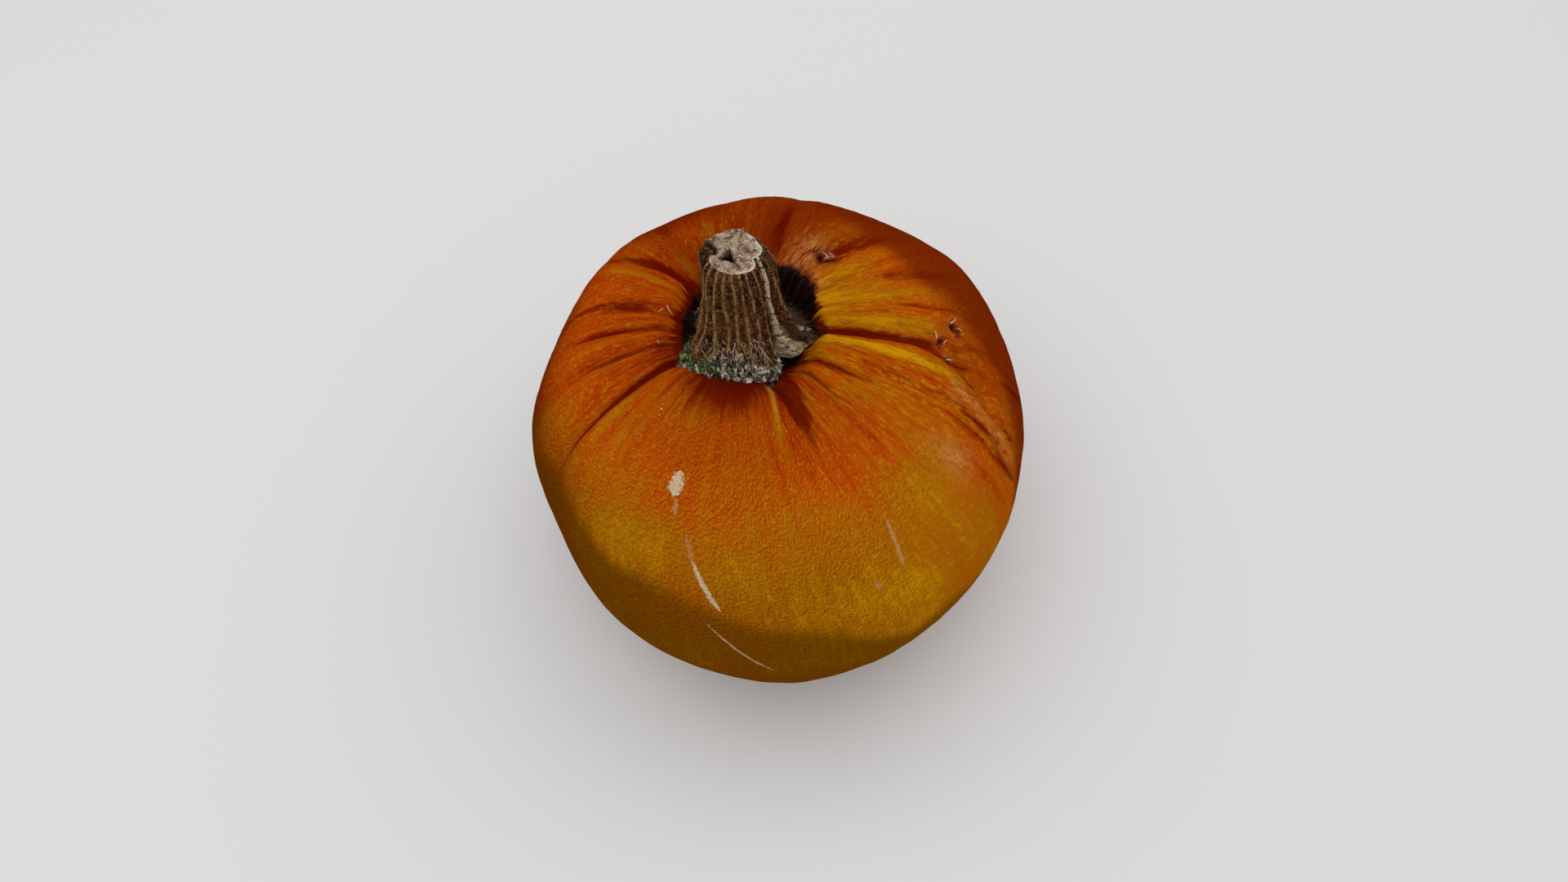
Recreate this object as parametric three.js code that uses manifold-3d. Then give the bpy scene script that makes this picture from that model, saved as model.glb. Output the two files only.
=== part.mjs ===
import * as THREE from "three";
import { mergeVertices } from "three/addons/utils/BufferGeometryUtils.js";
import Module from "manifold-3d";

// A ribbed pumpkin with its dried stem. Lengths are in millimetres and angles in degrees.
// +Z is up, -Y is the front and +X the right. The origin is the middle of the flat spot it rests on.

// ---- Driving dimensions: the fruit ---------------------------------------------------------

const HALF_WIDTH = 100; // of the fruit's waist, along X
const HALF_DEPTH = 102.6; // along Y
const HALF_HEIGHT = 80.5; // from the waist to the crown, before the crown dips
const WAIST_HEIGHT = 78.6; // of the waist's plane above the surface it rests on
const SHOULDER_POWER = 1.02; // above 1 the shoulders slope, below 1 they are square

const CROWN_LEAN = -13; // how far along X the crown sits from the middle of the waist
const CROWN_DIP = { depth: 8, radius: 45 }; // the broad hollow of the crown
// The pit round the stem: a steep deep side at one azimuth, and a shallow side opposite it.
const PIT = { deepAzimuth: 40, depths: [6, 15], floorRadii: [12, 20], rimRadii: [32, 31] };
const NAVEL = { button: 3.5, ring: 6, edge: 9, depth: 1.4 }; // the blossom scar underneath

// Broad rises and flats of the skin: direction from the middle of the waist, and height.
const SWELL_SPREAD = 20;
const SWELLS = [
  { azimuth: 35, elevation: 32, height: 8.5 },
  { azimuth: 85, elevation: 42, height: 4 },
  { azimuth: 117, elevation: 40, height: -3 },
  { azimuth: 165, elevation: 22, height: -5.5 },
  { azimuth: -155, elevation: -5, height: -4 },
  { azimuth: 10, elevation: 20, height: 2 },
  { azimuth: -85, elevation: -16, height: 2 },
];

// The grooves between the ribs, in order round the fruit. Each has its azimuth at the pit, at the shoulder
// and at the waist, its depth and width, and how far down from the crown it runs.
const GROOVES = [
  { azimuths: [-166, -169, -172], depth: 2.4, width: 4, reach: 64 },
  { azimuths: [-150, -151, -149], depth: 4.8, width: 4, reach: 73 },
  { azimuths: [-119, -111, -110], depth: 1, width: 7, reach: 80 },
  { azimuths: [-83, -85, -87], depth: 1.6, width: 4.5, reach: 30 },
  { azimuths: [-59, -61, -64], depth: 4.6, width: 5, reach: 40 },
  { azimuths: [-38, -41, -46], depth: 2, width: 4, reach: 50 },
  { azimuths: [-25, -15, -22], depth: 2.2, width: 3.5, reach: 64 },
  { azimuths: [1, 2, -18], depth: 5, width: 4.5, reach: 82 },
  { azimuths: [27, 25, 24], depth: 1.6, width: 5, reach: 70 },
  { azimuths: [50, 45, 34], depth: 4.4, width: 6, reach: 66 },
  { azimuths: [69, 76, 82], depth: 3.6, width: 5, reach: 62 },
  { azimuths: [98, 100, 102], depth: 2, width: 5, reach: 50 },
  { azimuths: [125, 121, 124], depth: 1.8, width: 5, reach: 62 },
  { azimuths: [133, 139, 140], depth: 4.8, width: 5, reach: 64 },
  { azimuths: [164, 166, 165], depth: 3, width: 4, reach: 62 },
  { azimuths: [178, 177, 176], depth: 2.2, width: 3.5, reach: 56 },
];
const STATIONS = [18, 42, 80]; // angles from the crown at which a groove's azimuths are given
const CREASE_POWER = 1.25; // 1 is a sharp crease, 2 a round valley
const UNDERSIDE_SHARE = 0.25; // of a groove's depth that comes back under the fruit

// ---- Driving dimensions: the stem ----------------------------------------------------------

const STEM_FOOT = new THREE.Vector3(-12.5, 2, 134); // middle of its foot, sunk into the pit
const STEM_TOP = new THREE.Vector3(-13.8, 0, 191); // middle of its cut face
const STEM_RADIUS = { cut: 8.4, edge: 1.6, edgeReach: 0.06, taper: 3, flare: 8 };
const STEM_DEPTH_SHARE = 0.94; // its foot is narrower from front to back than from side to side
const CUT_SLOPE = { x: -0.16, y: 0.1 }; // rise of the cut face along X and Y

// Ridges (and folds, with a negative height) down the stem: azimuth at the foot and at the cut, the height
// at both, the width, and how suddenly the ridge swells towards the foot. The cut face itself shows only
// RIDGE_SHARE_AT_CUT of them.
const STEM_RIDGES = [
  { azimuths: [-4, 14], heights: [22, 3.6], width: 15, power: 6 },
  { azimuths: [-30, -16], heights: [-6, -3.6], width: 9, power: 2.5 },
  { azimuths: [-64, -44], heights: [10.5, 1.6], width: 16, power: 2.5 },
  { azimuths: [-100, -100], heights: [10.5, 1.2], width: 30, power: 2.5 },
  { azimuths: [-138, -140], heights: [20, 1.5], width: 20, power: 3 },
  { azimuths: [-172, -165], heights: [-5, -1.6], width: 12, power: 2.5 },
  { azimuths: [150, 156], heights: [6, 1.8], width: 16, power: 4 },
  { azimuths: [118, 120], heights: [0, -1.2], width: 12, power: 2.5 },
  { azimuths: [82, 76], heights: [7, 2.6], width: 18, power: 2.5 },
  { azimuths: [42, 42], heights: [0, 2.4], width: 14, power: 1 },
];
const RIDGE_SHARE_AT_CUT = 0.4;
const STEM_RIBS = { count: 24, height: 0.45 };
const WARTS = { height: 1.1, around: 17, up: 5, twist: 6 }; // the rough rim of the foot
const HOLLOW = { x: -1.2, y: -2.6, radius: 2.7, depth: 9, turn: 50 }; // the three-cornered hole in the cut
const GAP = 0.3; // between the stem and the skin that it stands on

// ---- Fineness ------------------------------------------------------------------------------

const FRUIT_ROWS = { first: 6, last: 172, count: 42, power: 1.2 }; // they crowd towards the crown
const COLUMNS_PER_RIB = 6;
const STEM_ROWS = 18;
const STEM_COLUMNS = 96;

// ---- Small helpers -------------------------------------------------------------------------

const RADIANS = Math.PI / 180;

const mix = (a, b, share) => a + (b - a) * share;

function smoothStep(from, to, x) {
  const t = Math.min(Math.max((x - from) / (to - from), 0), 1);
  return t * t * (3 - 2 * t);
}

// The signed angle from b to a, between -180 and 180.
function angleBetween(a, b) {
  return ((((a - b + 180) % 360) + 360) % 360) - 180;
}

// ---- The fruit's skin ----------------------------------------------------------------------

// A groove's azimuth at an angle down from the crown.
function grooveAzimuth({ azimuths: [atPit, atShoulder, atWaist] }, down) {
  const upper = (atShoulder - atPit) * smoothStep(STATIONS[0], STATIONS[1], down);
  const lower = (atWaist - atShoulder) * smoothStep(STATIONS[1], STATIONS[2], down);
  return atPit + upper + lower;
}

// How far the crown sinks at a distance from its middle.
function crownSink(distance, azimuth) {
  const broad = CROWN_DIP.depth * Math.exp(-((distance / CROWN_DIP.radius) ** 2));
  const side = 0.5 + 0.5 * Math.cos((azimuth - PIT.deepAzimuth) * RADIANS);
  const [depth, floor, rim] = [PIT.depths, PIT.floorRadii, PIT.rimRadii].map(([a, b]) => mix(a, b, side));
  return broad + depth * (1 - smoothStep(floor, rim, distance));
}

// The rise of the broad swells in a direction from the middle of the waist.
function swellHeight(direction) {
  let height = 0;
  for (const { azimuth, elevation, height: swell } of SWELLS) {
    const level = Math.cos(elevation * RADIANS);
    const towards = new THREE.Vector3(
      level * Math.cos(azimuth * RADIANS),
      level * Math.sin(azimuth * RADIANS),
      Math.sin(elevation * RADIANS),
    );
    const apart = direction.angleTo(towards) / RADIANS;
    height += swell * Math.exp(-((apart / SWELL_SPREAD) ** 2));
  }
  return height;
}

// The ungrooved skin, from the middle of the waist: down is the angle from the crown.
function plainSkin(down, azimuth) {
  const sine = Math.sin(down * RADIANS);
  const cosine = Math.cos(down * RADIANS);
  const reach = cosine > 0 ? sine ** SHOULDER_POWER : sine;
  const sink = cosine > 0 ? crownSink(HALF_WIDTH * reach, azimuth) : 0;
  const point = new THREE.Vector3(
    CROWN_LEAN * smoothStep(0, 1, cosine) + HALF_WIDTH * reach * Math.cos(azimuth * RADIANS),
    HALF_DEPTH * reach * Math.sin(azimuth * RADIANS),
    HALF_HEIGHT * cosine - sink,
  );
  const direction = point.clone().normalize();
  return point.addScaledVector(direction, swellHeight(direction));
}

// The outward normal of the ungrooved skin, from four points close round the one asked for.
function skinNormal(down, azimuth) {
  const step = 0.05;
  const along = plainSkin(down + step, azimuth).sub(plainSkin(down - step, azimuth));
  const across = plainSkin(down, azimuth + step).sub(plainSkin(down, azimuth - step));
  return along.cross(across).normalize();
}

// How deep the grooves cut at a place on the skin.
function grooveDepth(down, azimuth) {
  let depth = 0;
  for (const groove of GROOVES) {
    const above = smoothStep(5, 17, down) * (1 - smoothStep(groove.reach - 34, groove.reach + 8, down));
    const below = UNDERSIDE_SHARE * smoothStep(115, 150, down) * (1 - smoothStep(150, 172, down));
    const apart = Math.abs(angleBetween(azimuth, grooveAzimuth(groove, down)));
    depth += groove.depth * (above + below) * Math.exp(-((apart / groove.width) ** CREASE_POWER));
  }
  return depth;
}

// The height of the blossom scar's ring above the flat spot.
function navelRise(distance) {
  const ring = smoothStep(NAVEL.button, NAVEL.ring, distance);
  return NAVEL.depth * ring * (1 - smoothStep(NAVEL.ring, NAVEL.edge, distance));
}

// The finished skin, grown outwards by grow, in the part's own frame.
function skin(down, azimuth, grow) {
  const offset = grow - grooveDepth(down, azimuth);
  const point = plainSkin(down, azimuth).addScaledVector(skinNormal(down, azimuth), offset);
  const height = Math.max(point.z + WAIST_HEIGHT, 0);
  return point.setZ(Math.max(height, down > 90 ? navelRise(Math.hypot(point.x, point.y)) : 0));
}

// The azimuths of a row's corners: one in each groove, and the others spread between.
function rowAzimuths(down) {
  const azimuths = [];
  GROOVES.forEach((groove, i) => {
    const from = grooveAzimuth(groove, down);
    const next = grooveAzimuth(GROOVES[(i + 1) % GROOVES.length], down);
    const across = (((next - from) % 360) + 360) % 360;
    for (let k = 0; k < COLUMNS_PER_RIB; k++) azimuths.push(from + (across * k) / COLUMNS_PER_RIB);
  });
  return azimuths;
}

// A closed solid from rings of points, ordered from the top down and anticlockwise seen from above.
function ringSolid(top, rings, bottom) {
  const around = rings[0].length;
  const corners = [top, ...rings.flat(), bottom];
  const last = corners.length - 1;
  const faces = [];
  for (let i = 0; i < around; i++) {
    const j = (i + 1) % around;
    faces.push(0, 1 + i, 1 + j);
    for (let row = 0; row < rings.length - 1; row++) {
      const upper = 1 + row * around;
      const lower = upper + around;
      faces.push(upper + i, lower + i, lower + j, upper + i, lower + j, upper + j);
    }
    faces.push(last, last - around + j, last - around + i);
  }
  return new THREE.BufferGeometry().setFromPoints(corners).setIndex(faces);
}

// The angles of the rows down from the crown, with a few close ones round the blossom scar.
function rowAngles() {
  const { first, last, count, power } = FRUIT_ROWS;
  const rows = Array.from({ length: count }, (_, i) => mix(first, last, (i / (count - 1)) ** power));
  const radii = [NAVEL.edge, (NAVEL.edge + NAVEL.ring) / 2, NAVEL.ring, NAVEL.button];
  return [...rows, ...radii.map((radius) => 180 - Math.asin(radius / HALF_WIDTH) / RADIANS)];
}

function fruitGeometry(grow = 0) {
  const rings = rowAngles().map((down) => rowAzimuths(down).map((azimuth) => skin(down, azimuth, grow)));
  return ringSolid(skin(0.1, 0, grow), rings, skin(179.9, 0, grow));
}

// ---- The stem ------------------------------------------------------------------------------

// The stem's radius at a share of its length, 0 at the foot and 1 at the cut, and at an azimuth.
function stemRadius(share, azimuth) {
  const below = 1 - share;
  const ease = 1 - Math.exp(-below / STEM_RADIUS.edgeReach);
  let radius = STEM_RADIUS.cut + STEM_RADIUS.taper * below + STEM_RADIUS.flare * below ** 5;
  radius += STEM_RADIUS.edge * ease;
  for (const { azimuths, heights, width, power } of STEM_RIDGES) {
    const middle = mix(azimuths[0], azimuths[1], share);
    const apart = Math.abs(angleBetween(azimuth, middle)) / width;
    const swell = mix(heights[1], heights[0], below ** power) * mix(RIDGE_SHARE_AT_CUT, 1, ease);
    radius += swell * Math.exp(-(apart ** 2));
  }
  const ribs = Math.cos(STEM_RIBS.count * azimuth * RADIANS) * smoothStep(0.05, 0.3, share);
  radius += STEM_RIBS.height * ribs * smoothStep(0, 0.06, below);
  const rows = Math.sin((WARTS.up * 360 * share + WARTS.twist * azimuth) * RADIANS);
  const warts = rows * Math.sin(WARTS.around * azimuth * RADIANS) * (1 - smoothStep(0.12, 0.4, share));
  return radius + WARTS.height * warts;
}

function stemPoint(share, azimuth, shrink = 1) {
  const radius = stemRadius(share, azimuth) * shrink;
  const x = radius * Math.cos(azimuth * RADIANS);
  const y = radius * Math.sin(azimuth * RADIANS) * mix(STEM_DEPTH_SHARE, 1, share);
  const slope = (CUT_SLOPE.x * x + CUT_SLOPE.y * y) * smoothStep(0.5, 1, share);
  return new THREE.Vector3().lerpVectors(STEM_FOOT, STEM_TOP, share).add(new THREE.Vector3(x, y, slope));
}

function stemGeometry() {
  const rings = [];
  const azimuths = Array.from({ length: STEM_COLUMNS }, (_, i) => (360 * i) / STEM_COLUMNS);
  rings.push(azimuths.map((azimuth) => stemPoint(1, azimuth, 0.9)));
  for (let row = 0; row <= STEM_ROWS; row++) {
    const share = 1 - (row / STEM_ROWS) ** 1.15;
    rings.push(azimuths.map((azimuth) => stemPoint(share, azimuth)));
  }
  return ringSolid(STEM_TOP.clone(), rings, STEM_FOOT.clone());
}

// The pointed, three-sided hollow that runs down from the cut face.
function hollowGeometry() {
  const mouth = 2; // above the cut face
  const height = HOLLOW.depth + mouth;
  const hollow = new THREE.CylinderGeometry(HOLLOW.radius, HOLLOW.radius * 0.45, height, 3, 1);
  hollow.rotateX(Math.PI / 2).rotateZ(HOLLOW.turn * RADIANS);
  const drop = HOLLOW.depth - height / 2;
  return hollow.translate(STEM_TOP.x + HOLLOW.x, STEM_TOP.y + HOLLOW.y, STEM_TOP.z - drop);
}

// ---- Solids --------------------------------------------------------------------------------

const wasm = await Module();
wasm.setup();

function toSolid(geometry) {
  const bare = geometry.clone().deleteAttribute("normal").deleteAttribute("uv");
  const merged = mergeVertices(bare);
  return new wasm.Manifold(
    new wasm.Mesh({
      numProp: 3,
      vertProperties: merged.getAttribute("position").array,
      triVerts: new Uint32Array(merged.getIndex().array),
    }),
  );
}

function toGeometry(solid) {
  const { vertProperties, triVerts } = solid.getMesh();
  return new THREE.BufferGeometry()
    .setAttribute("position", new THREE.BufferAttribute(vertProperties, 3))
    .setIndex(new THREE.BufferAttribute(triVerts, 1));
}

function makeFruit() {
  const material = new THREE.MeshStandardMaterial({ color: 0xb4560a, roughness: 0.5, metalness: 0 });
  const fruit = new THREE.Mesh(fruitGeometry(), material);
  fruit.name = "fruit";
  return fruit;
}

function makeStem() {
  const material = new THREE.MeshStandardMaterial({ color: 0x6b5237, roughness: 0.9, metalness: 0 });
  const solid = toSolid(stemGeometry())
    .subtract(toSolid(fruitGeometry(GAP)))
    .subtract(toSolid(hollowGeometry()));
  const stem = new THREE.Mesh(toGeometry(solid), material);
  stem.name = "stem";
  return stem;
}

const pumpkin = new THREE.Group();
pumpkin.add(makeFruit(), makeStem());

export default pumpkin;
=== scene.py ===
"""A ribbed pumpkin with its dried stem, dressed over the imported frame.

Lengths are in millimetres and angles in degrees until a mesh is written, which is in metres.
"""

import logging
import math
from dataclasses import dataclass, field
from enum import Enum

import bpy
import numpy as np
from mathutils import Matrix, Vector


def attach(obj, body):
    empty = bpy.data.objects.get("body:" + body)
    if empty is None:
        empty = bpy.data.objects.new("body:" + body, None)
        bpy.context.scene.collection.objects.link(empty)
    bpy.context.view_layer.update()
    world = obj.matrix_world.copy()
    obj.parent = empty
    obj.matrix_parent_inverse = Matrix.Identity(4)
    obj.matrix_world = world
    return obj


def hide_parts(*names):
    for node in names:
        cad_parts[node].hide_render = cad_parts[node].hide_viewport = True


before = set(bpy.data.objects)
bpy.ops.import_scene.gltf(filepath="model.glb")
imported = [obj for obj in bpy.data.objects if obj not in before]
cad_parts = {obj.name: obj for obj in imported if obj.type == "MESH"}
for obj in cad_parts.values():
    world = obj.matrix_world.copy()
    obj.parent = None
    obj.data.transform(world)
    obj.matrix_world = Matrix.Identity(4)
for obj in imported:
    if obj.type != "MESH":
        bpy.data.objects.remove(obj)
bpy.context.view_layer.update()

LOG = logging.getLogger("pumpkin")
METRES = 0.001
WAIST_HEIGHT = 78.6

Triple = tuple[float, float, float]
Colour = tuple[float, float, float, float]
Numbers = float | np.ndarray
Form = tuple[np.ndarray, list[list[int]]]
Socket = bpy.types.NodeSocket


class Slot(Enum):
    """The record's material slots."""

    SKIN = "skin"
    STEM = "stem"


class Tone(Enum):
    """What a band of the skin turns to, named as its mask is. SHADE is painted shade in the grooves; GLOW
    is partly the skin's own yellow, partly painted highlight on the crests.
    """

    SHADE = "crease_shade"
    GLOW = "ochre_and_highlight"
    FLUSH = "flush"
    SCUFF = "scuff_and_highlight"


class Pattern(Enum):
    """What the surface coordinates of a texture follow."""

    OBJECT = "object"
    MERIDIAN = "meridian"


# ---- Numbers on arrays ---------------------------------------------------------------------


def step(low: Numbers, high: Numbers, value: Numbers) -> Numbers:
    """Rise smoothly from 0 at one limit to 1 at the other."""
    share = np.clip((value - low) / (high - low), 0.0, 1.0)
    return share * share * (3.0 - 2.0 * share)


def hump(centre: Numbers, width: float, value: Numbers) -> Numbers:
    """Give a bell curve of height 1 round a centre."""
    return np.exp(-(((value - centre) / width) ** 2))


def apart(first: Numbers, second: Numbers) -> Numbers:
    """Give the signed angle from the second azimuth to the first, from -180 to 180."""
    return (first - second + 180.0) % 360.0 - 180.0


def ring(azimuth: np.ndarray, third: np.ndarray) -> np.ndarray:
    """Give the point at each azimuth on a circle of radius 1, with a third coordinate."""
    return np.stack([np.cos(np.radians(azimuth)), np.sin(np.radians(azimuth)), third], axis=-1)


def unit(vectors: np.ndarray) -> np.ndarray:
    """Give each vector a length of 1."""
    return vectors / np.maximum(np.linalg.norm(vectors, axis=-1, keepdims=True), 1e-12)


def lattice(cell: np.ndarray, salt: int) -> np.ndarray:
    """Give a fixed pseudo-random number for each whole-number cell.

    Args:
        cell: three whole numbers in each row.
        salt: a whole number that gives a pattern of its own.

    Returns:
        A number from -1 to 1 for each row.
    """
    mixed = cell[:, 0] * 73856093 ^ cell[:, 1] * 19349663 ^ cell[:, 2] * 83492791 ^ salt * 2654435761
    mixed = (mixed ^ (mixed >> 13)) * 1274126177 & 0x7FFFFFFF
    return ((mixed ^ (mixed >> 16)) & 0xFFFF) / 32767.5 - 1.0


def rough(points: np.ndarray, scale: float, salt: int, octaves: int = 1) -> np.ndarray:
    """Sample smooth gradient noise at each point.

    Args:
        points: positions, one row each.
        scale: noise cells for each unit of length.
        salt: a whole number that gives a pattern of its own.
        octaves: layers of ever finer noise.

    Returns:
        Noise from about -1 to 1 at each point.
    """
    total = np.zeros(len(points))
    for octave in range(octaves):
        place = points * (scale * 2**octave) + 13.7 * salt
        cell = np.floor(place).astype(np.int64)
        inside = place - cell
        blend = inside**3 * (inside * (inside * 6 - 15) + 10)
        for corner in np.ndindex(2, 2, 2):
            weight = np.prod(np.where(corner, blend, 1 - blend), axis=1)
            offset = inside - corner
            slope = sum(
                lattice(cell + corner, 31 * salt + 7 * octave + axis) * offset[:, axis] for axis in range(3)
            )
            total += weight * slope * 1.6 / 2**octave
    return total


# ---- Forms ---------------------------------------------------------------------------------


# The angles down from the crown at which a groove's three azimuths hold.
AT_PIT, AT_SHOULDER, AT_WAIST = 18, 42, 80


@dataclass(frozen=True)
class Groove:
    """A groove between two ribs, with its azimuth at the pit, the shoulder and the waist."""

    at_pit: float
    at_shoulder: float
    at_waist: float
    depth: float
    width: float
    reach: float

    def azimuth(self, down: np.ndarray) -> np.ndarray:
        """Give the groove's azimuth at each angle down from the crown."""
        upper = (self.at_shoulder - self.at_pit) * step(AT_PIT, AT_SHOULDER, down)
        return self.at_pit + upper + (self.at_waist - self.at_shoulder) * step(AT_SHOULDER, AT_WAIST, down)

    def shape(self, down: np.ndarray, azimuth: np.ndarray) -> np.ndarray:
        """Give the groove's depth, which fades out at the pit, past its reach and under the fruit.

        Args:
            down: angles down from the crown.
            azimuth: azimuths.

        Returns:
            The depth in millimetres at each place.
        """
        above = step(5, 17, down) * (1 - step(self.reach - 34, self.reach + 8, down))
        below = 0.25 * step(115, 150, down) * (1 - step(150, 172, down))
        off = np.abs(apart(azimuth, self.azimuth(down)))
        return self.depth * (above + below) * np.exp(-((off / self.width) ** 1.25))


GROOVES = (
    Groove(-166, -169, -172, 2.4, 4, 64),
    Groove(-150, -151, -149, 4.8, 4, 73),
    Groove(-119, -111, -110, 1, 7, 80),
    Groove(-83, -85, -87, 1.6, 4.5, 30),
    Groove(-59, -61, -64, 4.6, 5, 40),
    Groove(-38, -41, -46, 2, 4, 50),
    Groove(-25, -15, -22, 2.2, 3.5, 64),
    Groove(1, 2, -18, 5, 4.5, 82),
    Groove(27, 25, 24, 1.6, 5, 70),
    Groove(50, 45, 34, 4.4, 6, 66),
    Groove(69, 76, 82, 3.6, 5, 62),
    Groove(98, 100, 102, 2, 5, 50),
    Groove(125, 121, 124, 1.8, 5, 62),
    Groove(133, 139, 140, 4.8, 5, 64),
    Groove(164, 166, 165, 3, 4, 62),
    Groove(178, 177, 176, 2.2, 3.5, 56),
)


@dataclass(frozen=True)
class Swell:
    """A broad rise of the rind, or a flat place where its height is negative."""

    azimuth: float
    elevation: float
    height: float

    def towards(self) -> np.ndarray:
        """Give its direction.

        Returns:
            A vector of length 1 from the middle of the waist.
        """
        rise, turn = math.radians(self.elevation), math.radians(self.azimuth)
        level = math.cos(rise)
        return np.array([level * math.cos(turn), level * math.sin(turn), math.sin(rise)])


SWELLS = (
    Swell(35, 32, 8.5),
    Swell(85, 42, 4),
    Swell(117, 40, -3),
    Swell(165, 22, -5.5),
    Swell(-155, -5, -4),
    Swell(10, 20, 2),
    Swell(-85, -16, 2),
)


@dataclass(frozen=True)
class RindForm:
    """The form of the fruit's outside, as a height over angles."""

    half_width: float = 100.0
    half_depth: float = 102.6
    half_height: float = 80.5
    shoulder_power: float = 1.02
    crown_lean: float = -13.0
    steep_side: float = 40.0
    dip_depth: float = 8.0
    dip_radius: float = 45.0
    swell_spread: float = 20.0
    navel_button: float = 3.5
    navel_ring: float = 6.0
    navel_edge: float = 9.0
    navel_depth: float = 1.4

    def sink(self, distance: np.ndarray, azimuth: np.ndarray) -> np.ndarray:
        """Give how far the crown sinks into the pit round the stem.

        Args:
            distance: distances from the middle of the crown, in millimetres.
            azimuth: azimuths.

        Returns:
            The depth in millimetres at each place.
        """
        steep = 0.5 + 0.5 * np.cos(np.radians(azimuth - self.steep_side))
        floor, rim, depth = 12 + 8 * steep, 32 - steep, 6 + 9 * steep
        broad = self.dip_depth * np.exp(-((distance / self.dip_radius) ** 2))
        return broad + depth * (1 - step(floor, rim, distance))

    def plain(self, down: np.ndarray, azimuth: np.ndarray) -> np.ndarray:
        """Give points of the ungrooved rind.

        Args:
            down: angles down from the crown.
            azimuth: azimuths.

        Returns:
            One point for each place, in millimetres from the middle of the waist.
        """
        sine, cosine = np.sin(np.radians(down)), np.cos(np.radians(down))
        reach = np.where(cosine > 0, np.maximum(sine, 1e-9) ** self.shoulder_power, sine)
        across, along = np.cos(np.radians(azimuth)), np.sin(np.radians(azimuth))
        points = np.stack([
            self.crown_lean * step(0, 1, cosine) + self.half_width * reach * across,
            self.half_depth * reach * along,
            self.half_height * cosine - (cosine > 0) * self.sink(self.half_width * reach, azimuth),
        ], axis=-1)
        outward = unit(points)
        height = np.zeros(down.shape)
        for swell in SWELLS:
            angle = np.degrees(np.arccos(np.clip(outward @ swell.towards(), -1, 1)))
            height += swell.height * hump(0, self.swell_spread, angle)
        return points + outward * height[..., None]

    def normal(self, down: np.ndarray, azimuth: np.ndarray) -> np.ndarray:
        """Give the outward normal of the ungrooved rind.

        Args:
            down: angles down from the crown.
            azimuth: azimuths.

        Returns:
            A vector of length 1 for each place.
        """
        small = 0.05
        along = self.plain(down + small, azimuth) - self.plain(down - small, azimuth)
        across = self.plain(down, azimuth + small) - self.plain(down, azimuth - small)
        return unit(np.cross(along, across))

    def groove_depth(self, down: np.ndarray, azimuth: np.ndarray) -> np.ndarray:
        """Give the depth of all grooves together at each place."""
        return sum(groove.shape(down, azimuth) for groove in GROOVES)

    def surface(self, down: np.ndarray, azimuth: np.ndarray, relief: np.ndarray) -> np.ndarray:
        """Give points of the finished rind over the surface it rests on.

        Args:
            down: angles down from the crown.
            azimuth: azimuths.
            relief: height to add along the normal.

        Returns:
            One point for each place, in millimetres.
        """
        lift = relief - self.groove_depth(down, azimuth)
        points = self.plain(down, azimuth) + self.normal(down, azimuth) * lift[..., None]
        points[..., 2] += WAIST_HEIGHT
        distance = np.hypot(points[..., 0], points[..., 1])
        rise = step(self.navel_button, self.navel_ring, distance)
        navel = self.navel_depth * rise * (1 - step(self.navel_ring, self.navel_edge, distance))
        floor = np.where(down > 90, navel, 0.0)
        points[..., 2] = np.maximum(points[..., 2], floor)
        return points


@dataclass(frozen=True)
class StemRidge:
    """A ridge down the stem, or a fold where its height is negative."""

    at_foot: float
    at_cut: float
    foot_height: float
    cut_height: float
    width: float
    power: float


RIDGES = (
    StemRidge(-4, 14, 22, 3.6, 15, 6),
    StemRidge(-30, -16, -6, -3.6, 9, 2.5),
    StemRidge(-64, -44, 10.5, 1.6, 16, 2.5),
    StemRidge(-100, -100, 10.5, 1.2, 30, 2.5),
    StemRidge(-138, -140, 20, 1.5, 20, 3),
    StemRidge(-172, -165, -5, -1.6, 12, 2.5),
    StemRidge(150, 156, 6, 1.8, 16, 4),
    StemRidge(118, 120, 0, -1.2, 12, 2.5),
    StemRidge(82, 76, 7, 2.6, 18, 2.5),
    StemRidge(42, 42, 0, 2.4, 14, 1),
)


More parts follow.
